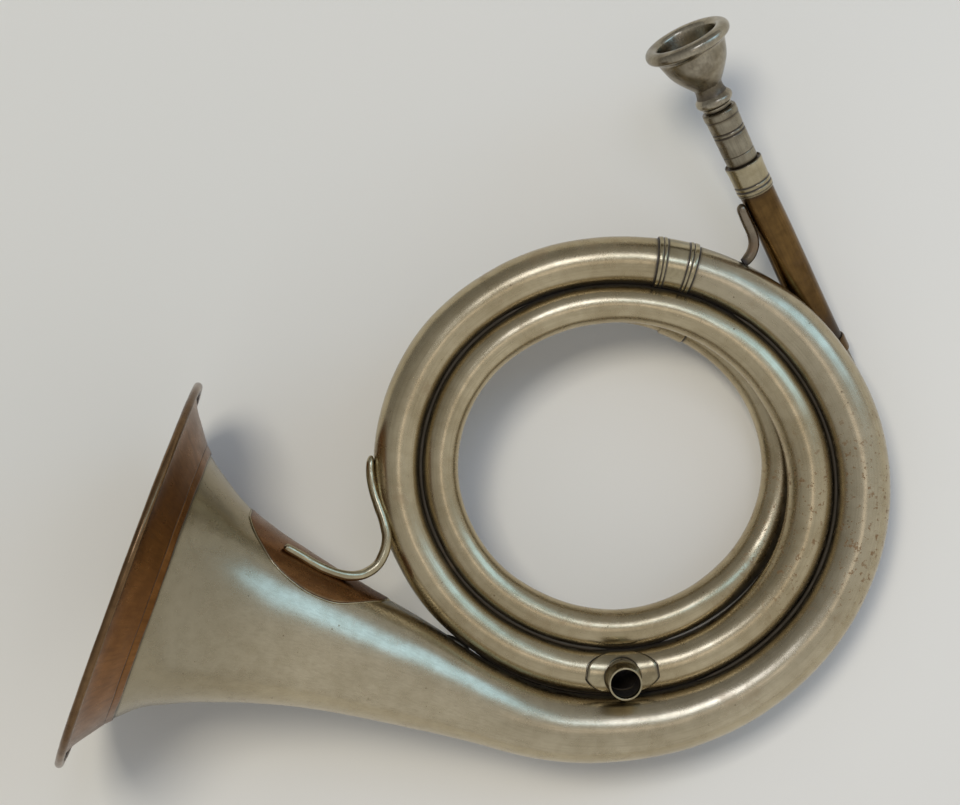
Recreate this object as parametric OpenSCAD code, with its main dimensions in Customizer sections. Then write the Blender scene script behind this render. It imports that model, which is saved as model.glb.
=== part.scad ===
// Coiled natural horn: a valveless brass instrument of the post-horn family.
// Two flat turns of conical tube lie side by side, a third turn drops behind
// them and leaves as a straight mouthpipe. Lengths in mm, angles in degrees.
// The horn lies at rest on a table: +Z is up, the table is the plane z = 0.
// The origin is on the table, below the centre of the coil.
// Pieces are drawn in the coil's own frame, with the coil plane at z = 0 and
// the rear turn on its -z side; lay() then sets them on the table.

/* [Node] */
// Sub-part to build

/* [Tube] */
// Wall thickness of the coiled tube
tube_wall = 0.6; // [0.45:0.05:0.7]
// Free gap between two neighbouring turns
turn_gap = 0.15; // [0.12:0.01:0.3]
// Facets around the coiled tube
tube_facets = 20; // [16:4:24]
// Angular step between tube stations
tube_step = 9; // [7.5, 8, 9, 10]

/* [Bell] */
// Wall thickness of the bell
bell_wall = 0.55; // [0.5:0.05:0.7]
// Diameter of the wire the bell rim is rolled over
rim_wire_d = 2.5; // [2.3:0.1:2.8]
// Upward tilt of the bell axis out of the plane of the coil
bell_rise = 0.65; // [0.4:0.05:1]
// Width of the garland, measured along the bell axis
garland_w = 10.6; // [9:0.1:12]
// Sheet thickness of the garland
garland_t = 0.35; // [0.3:0.05:0.5]
// Facets around the bell
bell_facets = 36; // [32:4:40]

/* [Vent] */
// Inner diameter of the vent tube
vent_bore_d = 8.6; // [8:0.1:9]
// Wall thickness of the vent tube
vent_wall = 0.55; // [0.45:0.05:0.7]
// Height of the vent mouth above the axis of the coiled tube
vent_top = 14.6; // [12:0.1:16]
// Outward lean of the vent tube
vent_lean = 8; // [6:0.5:10]

/* [Mouthpiece] */
// Outer diameter of the mouthpiece rim
rim_d = 25.8; // [25:0.1:27]
// Diameter of the cup at the rim
cup_d = 17.6; // [17:0.1:18.5]
// Diameter of the throat
throat_d = 4.6; // [4:0.1:5]
// Play between the taper fits of the mouthpiece end
fit_play = 0.05; // [0.03:0.01:0.08]

/* [Mouthpipe] */
// Outer diameter of the straight mouthpipe
pipe_d = 10.3; // [10.2:0.1:10.4]
// Rise of the mouthpipe out of the plane of the coil
pipe_rise = 17.2; // [17.1:0.1:17.5]

/* [Attitude on the table] */
// Lean of the coil plane about the lengthwise axis
rest_roll = 2.0; // [0:0.1:4]
// Lean of the coil plane about the crosswise axis
rest_pitch = 9.8; // [8.5:0.1:11]
// Height of the coil centre above the table
rest_height = 32.6; // [31:0.1:35]

/* [Hidden] */

nickel = [0.62, 0.59, 0.50];
brass = [0.66, 0.50, 0.28];
copper = [0.52, 0.33, 0.24];
solder = [0.60, 0.60, 0.57];

// ---- interpolation ----------------------------------------------------------
function unit(v) = v / norm(v);
function xyz(v) = [v[0], v[1], v[2]];
// Catmull-Rom curve through a list, at fraction t of the piece after entry i;
// the end entries are doubled
function spline(list, i, t) =
    let (last = len(list) - 1, before = list[max(0, i - 1)], from = list[i],
         to = list[i + 1], after = list[min(last, i + 2)])
    0.5 * (2 * from + (to - before) * t
        + (2 * before - 5 * from + 4 * to - after) * t * t
        + (3 * from - 3 * to + after - before) * t * t * t);

// Value at x of a smooth curve through rows [x, y] with unequal steps (cubic Hermite)
function row_index(table, x, i = 0) =
    (i >= len(table) - 2 || x < table[i + 1][0]) ? i : row_index(table, x, i + 1);
function row_slope(table, i) =
    let (low = table[max(0, i - 1)], high = table[min(len(table) - 1, i + 1)])
    (high[1] - low[1]) / (high[0] - low[0]);
function lookup_smooth(table, x) =
    let (i = row_index(table, x), gap = table[i + 1][0] - table[i][0],
         t = (x - table[i][0]) / gap)
    table[i][1] * (1 + 2 * t) * (1 - t) * (1 - t)
    + row_slope(table, i) * gap * t * (1 - t) * (1 - t)
    + table[i + 1][1] * t * t * (3 - 2 * t)
    + row_slope(table, i + 1) * gap * t * t * (t - 1);

// ---- the winding ------------------------------------------------------------
// The winding angle runs on through all turns, from the bell to the mouthpipe.
// Its measured keys stand every 30 degrees.
key_step = 30;
first_angle = 240;
rear_angle = 1020;      // first key of the rear turn
throat_angle = 270;     // the bell throat meets the coil
bow_joint = 437.4;      // joint between bell bow and coil
rear_joint = 1150;      // joint between coil and rear turn
vent_angle = 627.8;

// tube diameter, from 240 on, one turn to a row
tube_dias = [
    21.0, 19.5, 17.4, 16.4, 16.5, 16.0, 14.6, 13.8, 13.6, 13.5, 13.5, 13.2,
    13.1, 13.3, 13.7, 13.8, 13.6, 12.8, 11.8, 11.2, 11.4, 11.1, 11.0, 11.1,
    11.6, 11.3, 11.0, 10.9, 10.9, 10.9, 10.9, 10.8, 10.8, 10.8, 10.7, 10.6,
    10.5, 10.4, 10.4, 10.3, 10.3, 10.3, 10.3];
// radius of the first turn, from 240 to 600
first_radii = [79.0, 75.1, 73.0, 71.3, 68.7, 64.7, 61.8, 61.1, 63.3, 66.6, 67.4, 64.9, 61.3];
// radius of the rear turn, from 1020 to 1440
rear_radii = [44.6, 45.5, 46.6, 46.4, 46.4, 48.4, 51.5, 54.8,
              57.0, 57.5, 57.8, 59.6, 62.7, 66.3, 69.2];
// depth of the rear turn behind the coil plane, from 1020 to 1440
rear_depths = [2.0, 8.0, 10.6, 11.7, 12.1, 12.3, 12.3, 12.3,
               12.4, 12.5, 12.8, 13.2, 13.6, 14.3, 15.3];

turn_keys = 360 / key_step;
rear_key = (rear_angle - first_angle) / key_step;
last_key = rear_key + len(rear_radii) - 1;
// every later front turn lies against the one outside it
function key_radius(i) =
    i < len(first_radii) ? first_radii[i]
    : i < rear_key ? key_radius(i - turn_keys)
        - (tube_dias[i - turn_keys] + tube_dias[i]) / 2 - turn_gap
    : rear_radii[i - rear_key];
coil_radii = [for (i = [0:last_key]) key_radius(i)];
coil_heights = [for (i = [0:last_key]) i < rear_key ? 0 : -rear_depths[i - rear_key]];

// value at a winding angle of a list of keys
function at_angle(keys, angle) =
    let (place = (angle - first_angle) / key_step,
         i = max(0, min(len(keys) - 2, floor(place))))
    spline(keys, i, place - i);
function tube_r(angle) = at_angle(tube_dias, angle) / 2;
function coil_at(angle) = let (radius = at_angle(coil_radii, angle))
    [radius * cos(angle), radius * sin(angle), at_angle(coil_heights, angle)];
function coil_dir(angle) = unit(coil_at(angle + 0.5) - coil_at(angle - 0.5));
// angles from start to end, the inner ones on whole steps of tube_step
function stations(start, end) = concat([start],
    [for (k = [floor(start / tube_step) + 1:ceil(end / tube_step) - 1]) k * tube_step], [end]);

// ---- mouthpipe line ---------------------------------------------------------
// Distances along it count from the plane of the mouthpiece rim.
pipe_origin = [13.7, 124.2, 18.0];  // centre of the mouthpiece rim
pipe_azimuth = -61.55;
pipe_joint = 106;       // joint between mouthpipe and rear turn
pipe_dir = [cos(pipe_rise) * cos(pipe_azimuth), cos(pipe_rise) * sin(pipe_azimuth),
            -sin(pipe_rise)];
function pipe_at(dist) = pipe_origin + dist * pipe_dir;

// ---- bell axis --------------------------------------------------------------
// In the coil plane the axis runs straight in from the rim, then bends in a
// parabola to meet the coil at the throat.
bell_origin = [-144.6, -29.18, 0];  // centre of the rim, dropped on the coil plane
bell_azimuth = -20.15;
bell_ahead = [cos(bell_azimuth), sin(bell_azimuth), 0];
bell_side = [-sin(bell_azimuth), cos(bell_azimuth), 0];
throat_pos = coil_at(throat_angle) - bell_origin;
throat_dir = coil_dir(throat_angle);
throat_ahead = throat_pos * bell_ahead;
throat_side = throat_pos * bell_side;
throat_slope = (throat_dir * bell_side) / (throat_dir * bell_ahead);
bend_start = throat_ahead - 2 * throat_side / throat_slope;
bend_len = throat_ahead - bend_start;
bend_curve = throat_slope / (2 * bend_len);
rise_curve = tan(bell_rise) / (2 * bend_len);
// hand-bent wander of the axis: [distance from the rim, sideways offset]
axis_wander = [
    [0, 0], [8, 0], [14, 0], [22, -0.08], [30, 0.02], [45, 0.36],
    [60, 0.61], [72, 0.48], [85, 0.09], [95, -0.44], [105, -1.0], [112, -1.2],
    [118, -1.27], [126, -0.93], [135, -0.46], [144, -0.14],
    [throat_ahead, 0], [throat_ahead + 20, 0]];
function axis_side(ahead) = lookup_smooth(axis_wander, ahead)
    + (ahead > bend_start ? bend_curve * pow(ahead - bend_start, 2) : 0);
function axis_height(ahead) = ahead > bend_start
    ? rise_curve * pow(throat_ahead - ahead, 2)
    : tan(bell_rise) * (bend_start - ahead + bend_len / 2);
function bell_at(dist) = let (ahead = dist * cos(bell_rise))
    bell_origin + ahead * bell_ahead + axis_side(ahead) * bell_side + [0, 0, axis_height(ahead)];
function bell_dir(dist) = unit(bell_at(dist + 0.5) - bell_at(dist - 0.5));

// outer profile of the flare: [distance from the rim, radius]
flare = [
    [0, 55.9], [0.75, 53.6], [1.7, 51.5], [2.85, 49.6], [4.3, 47.6], [5.75, 45.65],
    [8.1, 42.5], [10.7, 39.85], [15.4, 36.0], [19.8, 33.15], [28.5, 28.9], [37, 25.8],
    [43.7, 23.85], [54.1, 21.3], [62.6, 19.6], [71.2, 18.1], [79.7, 16.65], [92.2, 14.45],
    [105.1, 12.25], [116, 11.0], [130, 10.35],
    [throat_ahead / cos(bell_rise), tube_dias[1] / 2]];
function flare_r(dist) = lookup_smooth(flare, dist);
// point [radius, distance from the rim], lifted square off the flare's outside
function on_flare(dist, lift) =
    let (low = max(0, dist - 0.02), high = dist + 0.02,
         grade = (flare_r(high) - flare_r(low)) / (high - low))
    [flare_r(dist), dist] + lift * [1, -grade] / sqrt(1 + grade * grade);

// ---- swept solids -----------------------------------------------------------
// Ring of n points about an axis direction; its half width lies parallel to
// the plane z = 0, its half height square to both
function ring(centre, axis, half_w, half_h, n) =
    let (across = unit(cross([0, 0, 1], axis)), upright = cross(axis, across))
    [for (j = [0:n - 1]) let (turn = 360 * j / n)
        centre + half_w * cos(turn) * across + half_h * sin(turn) * upright];
function round_ring(centre, axis, radius, n) = ring(centre, axis, radius, radius, n);
// ring around the coiled tube, grown over its outside
function coil_ring(angle, growth, n) =
    round_ring(coil_at(angle), coil_dir(angle), tube_r(angle) + growth, n);

function flatten(lists) = [for (list = lists) each list];
function quad(p, q, r, s) = [[p, q, r], [p, r, s]];
// faces joining m rings of n points, the first point having index first
function skin(m, n, first = 0, inward = false) =
    [for (s = [0:m - 2], j = [0:n - 1])
        let (p = first + s * n + j, q = first + s * n + (j + 1) % n)
        each (inward ? quad(p, q, q + n, p + n) : quad(p, p + n, q + n, q))];

// Hollow sweep between equal lists of outer and inner rings
module shell(outer, inner) {
    n = len(outer[0]);
    m = len(outer);
    k = n * m;          // index of the first inner point
    end = k - n;        // index of the first point of the last outer ring
    start_rim = [for (p = [0:n - 1]) let (q = (p + 1) % n)
        each quad(p, q, k + q, k + p)];
    end_rim = [for (j = [0:n - 1]) let (p = end + j, q = end + (j + 1) % n)
        each quad(p, k + p, k + q, q)];
    polyhedron(points = concat(flatten(outer), flatten(inner)),
        faces = concat(skin(m, n), skin(m, n, first = k, inward = true), start_rim, end_rim),
        convexity = 12);
}

// Solid sweep through rings
module rod(rings) {
    n = len(rings[0]);
    m = len(rings);
    start_cap = [for (j = [0:n - 1]) j];
    end_cap = [for (j = [n - 1:-1:0]) (m - 1) * n + j];
    polyhedron(points = flatten(rings), faces = concat(skin(m, n), [start_cap], [end_cap]),
        convexity = 8);
}

// Rod through rows [x, y, z, half width, half height], each gap cut in parts
module bent_rod(table, parts, facets) {
    path = concat([for (i = [0:len(table) - 2], k = [0:parts - 1]) spline(table, i, k / parts)],
                  [table[len(table) - 1]]);
    last = len(path) - 1;
    rod([for (i = [0:last])
        ring(xyz(path[i]), unit(xyz(path[min(last, i + 1)]) - xyz(path[max(0, i - 1)])),
             path[i][3], path[i][4], facets)]);
}

// Sleeve around the coil through rows [angle from the centre, growth over the tube]
module sleeve(centre, table, facets, under = 0.12)
    shell([for (row = table) coil_ring(centre + row[0], row[1], facets)],
          [for (row = table) coil_ring(centre + row[0], under, facets)]);

// Turned part from a profile of [radius, z]
module turned(facets, profile) rotate_extrude($fn = facets) polygon(profile);

// ---- placing ----------------------------------------------------------------
// On the pipe and the bell, local z runs from the rim plane down the axis.
module lay() translate([0, 0, rest_height]) rotate([rest_roll, rest_pitch, 0]) children();
module on_pipe() translate(pipe_origin) rotate([0, 90 + pipe_rise, pipe_azimuth]) children();
module on_bell() translate(bell_at(0)) rotate([0, 90 + bell_rise, bell_azimuth]) children();
module on_vent() translate(coil_at(vent_angle))
    rotate([0, 0, vent_angle]) rotate([0, vent_lean, 0]) children();

// ---- mouthpiece end ---------------------------------------------------------
pipe_r = pipe_d / 2;
pipe_wall = 0.5;
pipe_top = 41.7;            // upper end of the mouthpipe
sleeve_top = 41.6;
sleeve_end = 70;
sleeve_r = pipe_r - pipe_wall - 0.05;
shank_r = 3.88;             // upper end of the mouthpiece shank

module mouthpiece() color(nickel) lay() on_pipe() turned(96, [
    // bore
    [throat_d / 2, 19], [throat_d / 2, 23.5], [2.65, 33], [2.95, 40.6],
    // shank
    [3.68, 40.6], [shank_r, 23.8],
    // shoulder and collar
    [4.05, 23.6], [4.35, 23.3], [4.4, 22.4], [4.75, 22.15], [5.3, 21.7], [5.6, 21.1],
    [5.65, 20.6], [5.5, 20.0], [5.0, 19.4], [4.5, 18.8], [4.3, 18.0], [4.2, 17.0],
    // outside of the cup
    [4.3, 16.2], [5.0, 15.3], [6.1, 13.9], [7.4, 12.2], [8.5, 10.4], [9.4, 8.2],
    [10.0, 6.0], [10.3, 4.8], [11.0, 4.0],
    // rim
    [12.2, 3.4], [rim_d / 2 - 0.15, 2.8], [rim_d / 2, 2.0], [rim_d / 2 - 0.15, 1.2],
    [12.2, 0.5], [11.3, 0.1], [10.4, 0], [9.5, 0.3],
    // inside of the cup
    [cup_d / 2 + 0.1, 1.0], [cup_d / 2 - 0.05, 2.0], [8.4, 4.5], [7.6, 8.2], [6.1, 12.0],
    [4.2, 15.6], [2.7, 18.0]]);

// Short tuning tube: the mouthpiece shank sits in it, its lower end in the receiver.
module tuning_bit() color(nickel) lay() on_pipe() turned(96, [
    // socket for the shank, then the bore
    [shank_r + fit_play, 23.9], [3.657 + fit_play, 42.5], [3.2, 43.0], [3.2, 67.5],
    // lower taper and body
    [3.95, 67.5], [4.2, 41.3], [4.68, 40.9], [4.86, 32.0],
    // two grooves and the upper collar
    [4.78, 31.8], [4.78, 31.45], [4.88, 31.25], [4.88, 30.8], [4.8, 30.6], [4.8, 30.25],
    [4.92, 30.05], [5.05, 26.4], [5.22, 26.0], [5.22, 24.5], [5.1, 24.1], [4.9, 23.9]]);

// Tapered liner inside the upper end of the mouthpipe.
module receiver_sleeve() color(brass) lay() on_pipe() turned(72, [
    [4.197 + fit_play, sleeve_top], [3.926 + fit_play, sleeve_end],
    [sleeve_r, sleeve_end], [sleeve_r, sleeve_top]]);

// Outer ferrule of the receiver, with ring beads at its lower end.
module receiver_ferrule() color(nickel) lay() on_pipe() turned(96, [
    [pipe_r + 0.04, 41.3], [pipe_r + 0.04, 51.0],
    [5.32, 51.0], [5.44, 50.8], [5.44, 50.3], [5.56, 50.1], [5.56, 49.5], [5.42, 49.3],
    [5.42, 48.9], [5.54, 48.7], [5.54, 48.1], [5.42, 47.9], [5.5, 44.0], [5.62, 42.4],
    [5.68, 42.0], [5.68, 41.5], [5.5, 41.3]]);

// Straight mouthpipe down to the hidden joint under the outer turn.
module mouthpipe() color(brass) lay() on_pipe() difference() {
    translate([0, 0, pipe_top])
        cylinder(d = pipe_d, h = pipe_joint - 0.05 - pipe_top, $fn = 72);
    translate([0, 0, 40]) cylinder(d = pipe_d - 2 * pipe_wall, h = pipe_joint, $fn = 72);
}

// Ferrule over the joint between mouthpipe and rear turn.
module mouthpipe_ferrule() color(nickel) lay() on_pipe() turned(72, [
    [pipe_r + 0.14, pipe_joint - 3], [pipe_r + 0.14, pipe_joint + 1.6],
    [pipe_r + 0.5, pipe_joint + 1.6], [pipe_r + 0.65, pipe_joint + 1.2],
    [pipe_r + 0.65, pipe_joint - 2.6], [pipe_r + 0.45, pipe_joint - 3]]);

// Bent rod between the mouthpipe and the outer turn.
// Rows [x, y, z, half width, half height]
mouthpipe_stay_rows = [
    [32.3, 77.2, 4.2, 0.6, 0.7], [32.5, 76.4, 4.0, 1.3, 1.4], [33.0, 74.8, 3.5, 1.6, 1.6],
    [34.6, 71.7, 2.6, 1.6, 1.6], [36.0, 68.8, 1.9, 1.6, 1.6], [36.6, 66.0, 1.4, 1.6, 1.6],
    [36.0, 63.3, 1.1, 1.6, 1.6], [34.6, 61.2, 1.0, 1.55, 1.55], [33.6, 60.3, 1.0, 1.3, 1.3]];
module mouthpipe_stay() color(nickel) lay()
    bent_rod(mouthpipe_stay_rows, parts = 3, facets = 14);

// ---- coil -------------------------------------------------------------------
rear_angles = stations(rear_joint + 0.1, 1434);
// the rear turn bends out of its plane and ends in line with the mouthpipe;
// the first and last points only steer the curve
tail = [coil_at(1416), coil_at(1434), [69.4, 8.0, -16.2], [67.6, 23.0, -16.0],
        pipe_at(pipe_joint), pipe_at(pipe_joint - 14)];
tail_parts = 4;
tail_path = concat(
    [for (k = [1:3], t = [0:tail_parts - 1]) if (k > 1 || t > 0) spline(tail, k, t / tail_parts)],
    [pipe_at(pipe_joint)]);
rear_path = concat([for (angle = rear_angles) coil_at(angle)], tail_path);
rear_tube_r = concat([for (angle = rear_angles) tube_r(angle)], [for (p = tail_path) pipe_r]);
rear_last = len(rear_path) - 1;
function rear_dir(i) = i == 0 ? coil_dir(rear_angles[0])
    : i == rear_last ? -pipe_dir
    : unit(rear_path[i + 1] - rear_path[i - 1]);
function rear_rings(inset) = [for (i = [0:rear_last])
    round_ring(rear_path[i], rear_dir(i), rear_tube_r[i] - inset, tube_facets)];
module back_coil() color(nickel) lay() shell(rear_rings(0), rear_rings(tube_wall));

// Ferrule over the joint between coil and rear turn.
module back_ferrule() color(nickel) lay() sleeve(rear_joint,
    [[-5, 0.35], [-4.6, 0.5], [0, 0.5], [4.6, 0.5], [5, 0.35]], facets = 20);

vent_r = vent_bore_d / 2 + vent_wall;
vent_hole_r = vent_r + 0.06;

// Two front turns and the drop to the rear turn, one tube, drilled for the vent.
// Here and below, resize([0, 0, 0]) leaves every size as it is.
coil_angles = stations(bow_joint + 0.2, rear_joint - 0.1);
module main_coil() color(nickel) lay() resize([0, 0, 0]) difference() {
    shell([for (angle = coil_angles) coil_ring(angle, 0, tube_facets)],
          [for (angle = coil_angles) coil_ring(angle, -tube_wall, tube_facets)]);
    on_vent() translate([0, 0, 2]) cylinder(r = vent_hole_r, h = 8, $fn = 48);
}

// Ferrule over the joint between the bell bow and the coil, with two raised end bands.
module bell_ferrule() color(nickel) lay() sleeve(bow_joint, [
    [-5.3, 0.4], [-5.1, 0.68], [-4.2, 0.72], [-4.05, 0.54], [-3.8, 0.54], [-3.65, 0.72],
    [-3.1, 0.68], [-2.9, 0.44], [0, 0.44], [2.9, 0.44], [3.1, 0.68],
    [3.65, 0.72], [3.8, 0.54], [4.05, 0.54], [4.2, 0.72], [5.0, 0.68], [5.2, 0.4]],
    facets = 20, under = 0.2);

// ---- vent -------------------------------------------------------------------
// Curved saddle plate soldered on the coil around the vent: an oval with
// its inner and outer edges cut straight.
module vent_saddle() color(nickel) lay() resize([0, 0, 0]) difference() {
    intersection() {
        sleeve(vent_angle, [for (turn = [-12:3:12]) [turn, 0.66]], facets = 36);
        on_vent() linear_extrude(height = 12) intersection() {
            scale([1, 1.62]) circle(r = 6.7, $fn = 64);
            translate([-6.3, -10.3]) square([11.9, 20.6]);
        }
    }
    on_vent() cylinder(r = vent_hole_r, h = 20, $fn = 48);
}

// Short chimney with a small flange above the saddle.
vent_foot = 5.0;
module vent_tube() color(nickel) lay() on_vent() turned(96, [
    [vent_bore_d / 2, vent_foot], [vent_bore_d / 2, vent_top], [vent_r, vent_top],
    [vent_r, 9.6], [vent_r + 0.15, 8.4], [vent_r + 0.7, 7.75], [vent_r, 7.75],
    [vent_r, vent_foot]]);

// ---- bell -------------------------------------------------------------------
// distances from the rim of the rings along the flare
bell_dists = [0, 0.35, 0.75, 1.25, 2, 3, 4.35, 5.8, 8.1, 10.7, 14, 18, 23, 28.4,
              35, 42, 50, 58, 67, 76, 86, 96, 106, 117, 128, 141];
bow_angles = stations(throat_angle, bow_joint);
function bell_rings(inset) = concat(
    [for (dist = bell_dists) let (p = on_flare(dist, -inset))
        round_ring(bell_at(p[1]), bell_dir(p[1]), p[0], bell_facets)],
    [for (angle = bow_angles) coil_ring(angle, -inset, bell_facets)]);
// Flare, throat and bow in one piece.
module bell() color(nickel) lay() shell(bell_rings(0), bell_rings(bell_wall));

// Band of sheet around the mouth of the bell.
garland_dists = [0.1, 0.35, 0.75, 1.25, 1.75, 2.9, 4.35, 5.8, 8.1, garland_w];
garland_gap = 0.06;
module bell_garland() color(copper) lay() on_bell() turned(120, concat(
    [for (dist = garland_dists) on_flare(dist, garland_gap)],
    [for (k = [len(garland_dists) - 1:-1:0])
        on_flare(garland_dists[k], garland_gap + garland_t)]));

// Wire rolled into the rim.
module rim_wire() color(copper) lay() on_bell() rotate_extrude($fn = 120)
    translate([flare[0][1] + 0.1 + rim_wire_d / 2, 0.4]) circle(d = rim_wire_d, $fn = 24);

// Leaf-shaped repair sheet on the shoulder of the bell.
patch_dists = [25, 28.4, 33, 38, 43.5, 50, 56, 62.4, 71, 77];
// outline on the coil plane: [distance from the rim, sideways]
patch_outline = [
    [27.4, 27.9], [29.9, 24.9], [32.5, 22.5], [36.9, 18.9], [39.7, 17.2], [42.6, 15.7],
    [45.0, 14.7], [47.8, 13.8], [51.0, 13.1], [54.1, 12.7], [57.1, 12.7], [60.0, 13.3],
    [62.6, 14.2], [65.3, 15.2], [67.9, 16.3], [70.8, 17.3], [73.0, 18.6],
    [70, 24], [50, 30], [34, 34]];
function patch_rings(lift) = [for (dist = patch_dists) let (p = on_flare(dist, lift))
    round_ring(bell_at(p[1]), bell_dir(dist), p[0], 60)];
module bell_patch() color(copper) lay() resize([0, 0, 0]) intersection() {
    shell(patch_rings(0.5), patch_rings(0.12));
    translate(bell_origin + [0, 0, 2]) rotate([0, 0, bell_azimuth])
        linear_extrude(height = 40) polygon(patch_outline);
}

// Bent stay from the flank of the bell to the coil.
// Rows [x, y, z, half width, half height]
bell_stay_rows = [
    [-99.65, -20.59, 13.9, 0.45, 0.55], [-99.37, -20.83, 13.8, 1, 1.1],
    [-98.55, -21.31, 13.5, 1.25, 1.3], [-95.02, -23.4, 12.6, 1.3, 1.3],
    [-91.62, -25.53, 12.2, 1.35, 1.35], [-88.21, -27.41, 11.5, 1.4, 1.4],
    [-83.64, -29.12, 9.9, 1.45, 1.45], [-80.2, -29.66, 8.6, 1.5, 1.5],
    [-76.74, -29.11, 7.3, 1.5, 1.5], [-73.4, -26.96, 6.6, 1.5, 1.5],
    [-71.25, -23.33, 5.9, 1.5, 1.5], [-70.4, -18.85, 5.3, 1.45, 1.45],
    [-71.4, -14.0, 4.7, 1.4, 1.4], [-72.9, -9.65, 3.7, 1.4, 1.4],
    [-74.25, -5.35, 2.8, 1.35, 1.5], [-74.95, -1, 2.1, 1.3, 1.6],
    [-75.05, 2.17, 1.7, 1.2, 1.5], [-74.85, 3.76, 1.5, 0.9, 1.1],
    [-74.65, 4.39, 1.4, 0.45, 0.55]];
module bell_stay() color(nickel) lay() bent_rod(bell_stay_rows, parts = 2, facets = 12);

// ---- solder -----------------------------------------------------------------
// point in the crease between the turn at an angle and the turn outside it;
// side is 1 on the front (+z), -1 on the back
function crease(angle, side) =
    let (pos = coil_at(angle), beyond = coil_at(angle - 360), inner_r = tube_r(angle),
         outward = unit([beyond[0], beyond[1], 0]))
    pos + (inner_r + turn_gap / 2) * outward
    + [0, 0, side * 0.44 * min(inner_r, tube_r(angle - 360))];
// Run of solder along a crease, thinned at its ends
module run(start, end, side, half_w, half_h) {
    last = ceil((end - start) / 7);
    rod([for (i = [0:last])
        let (angle = start + (end - start) * i / last,
             thin = (i == 0 || i == last) ? 0.35 : 1)
        ring(crease(angle, side), unit(crease(angle + 0.5, side) - crease(angle - 0.5, side)),
             thin * half_w, thin * half_h, 10)]);
}
module turn_solder() color(solder) lay()
    for (ends = [[648, 776], [842, 984]], side = [1, -1])
        run(ends[0], ends[1], side, half_w = 0.8, half_h = 0.7);

// Rounded drop of solder, longest along its axis
module drop(centre, axis, half_len, half_w, half_h)
    rod([for (k = [-3:3]) let (t = k / 3, swell = max(0.25, sqrt(1 - t * t)))
        ring(centre + t * half_len * axis, axis, half_w * swell, half_h * swell, 12)]);

// Drops of solder holding the rear turn to the front turns: [angle, depth]
back_drops = [[1186, 6.3], [1260, 6.4], [1335, 6.9], [1404, 7.8]];
module back_solder() color(solder) lay()
    for (spot = back_drops) let (pos = coil_at(spot[0]))
        drop([pos[0], pos[1], -spot[1]], coil_dir(spot[0]),
             half_len = 3.2, half_w = 2.2, half_h = 1.2);

// Drop of solder between bell throat and coil.
module bell_solder() color(solder) lay()
    drop([-50.4, -50.2, 0.4], unit([0.86, -0.5, 0]), half_len = 5.2, half_w = 1.7, half_h = 2.4);

mouthpiece();
tuning_bit();
receiver_sleeve();
receiver_ferrule();
mouthpipe();
mouthpipe_stay();
mouthpipe_ferrule();
back_coil();
back_ferrule();
main_coil();
bell_ferrule();
vent_saddle();
vent_tube();
bell();
bell_garland();
rim_wire();
bell_patch();
bell_stay();
turn_solder();
back_solder();
bell_solder();
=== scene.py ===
"""Coiled natural horn with mouthpiece and tuning bit, lying on a paper-covered table.

Shapes are worked out in millimetres in the frame of the coil: the coil turns about z, its two
front turns are centred on z = 0 and the rear turn lies below them, at -z. Coil angles run
counter-clockwise seen from +z and keep growing from the bell throat to the mouthpipe.
to_table() lays the finished points on the table, in metres.
"""
import math

import bmesh
import bpy
import numpy as np
from mathutils import Matrix, Vector


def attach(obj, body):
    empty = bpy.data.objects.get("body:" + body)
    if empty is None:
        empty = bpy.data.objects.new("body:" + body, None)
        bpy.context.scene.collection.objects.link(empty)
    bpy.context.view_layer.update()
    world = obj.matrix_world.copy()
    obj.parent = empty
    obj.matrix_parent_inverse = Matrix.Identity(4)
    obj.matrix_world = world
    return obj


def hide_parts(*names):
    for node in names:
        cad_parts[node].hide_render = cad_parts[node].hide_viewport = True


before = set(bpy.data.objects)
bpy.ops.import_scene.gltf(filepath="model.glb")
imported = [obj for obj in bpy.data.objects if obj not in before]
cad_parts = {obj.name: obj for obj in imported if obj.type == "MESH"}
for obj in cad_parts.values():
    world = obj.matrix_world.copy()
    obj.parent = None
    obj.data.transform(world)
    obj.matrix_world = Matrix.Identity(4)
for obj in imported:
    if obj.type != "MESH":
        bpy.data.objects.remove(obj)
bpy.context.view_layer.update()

# ---------------------------------------------------------------- attitude on the table
MM = 0.001
TILT_X, TILT_Y, LIFT = math.radians(2.0), math.radians(9.8), 32.6
ATTITUDE = np.array([[math.cos(TILT_Y), 0, math.sin(TILT_Y)],
                     [0, 1, 0],
                     [-math.sin(TILT_Y), 0, math.cos(TILT_Y)]]) @ \
    np.array([[1, 0, 0],
              [0, math.cos(TILT_X), -math.sin(TILT_X)],
              [0, math.sin(TILT_X), math.cos(TILT_X)]])
UP = np.array([0, 0, 1.0])


def to_table(points):
    return (np.asarray(points, float) @ ATTITUDE.T + np.array([0, 0, LIFT])) * MM


# ---------------------------------------------------------------- small mathematics
def unit(v):
    v = np.asarray(v, float)
    return v / np.maximum(np.linalg.norm(v, axis=-1, keepdims=True), 1e-12)


def around(n):
    """n equal angles round a full circle."""
    return np.arange(n) * 2 * math.pi / n


def peak(x, at, width):
    """1 at a place, falling off exponentially on both sides."""
    return np.exp(-np.abs(x - at) / width)


def bump(x, at, width):
    """1 at a place, falling off as a bell curve."""
    return np.exp(-((x - at) / width) ** 2)


def catmull_rom(a, b, c, d, t):
    return 0.5 * (2 * b + (c - a) * t + (2 * a - 5 * b + 4 * c - d) * t * t
                  + (3 * b - 3 * c + d - a) * t ** 3)


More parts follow.
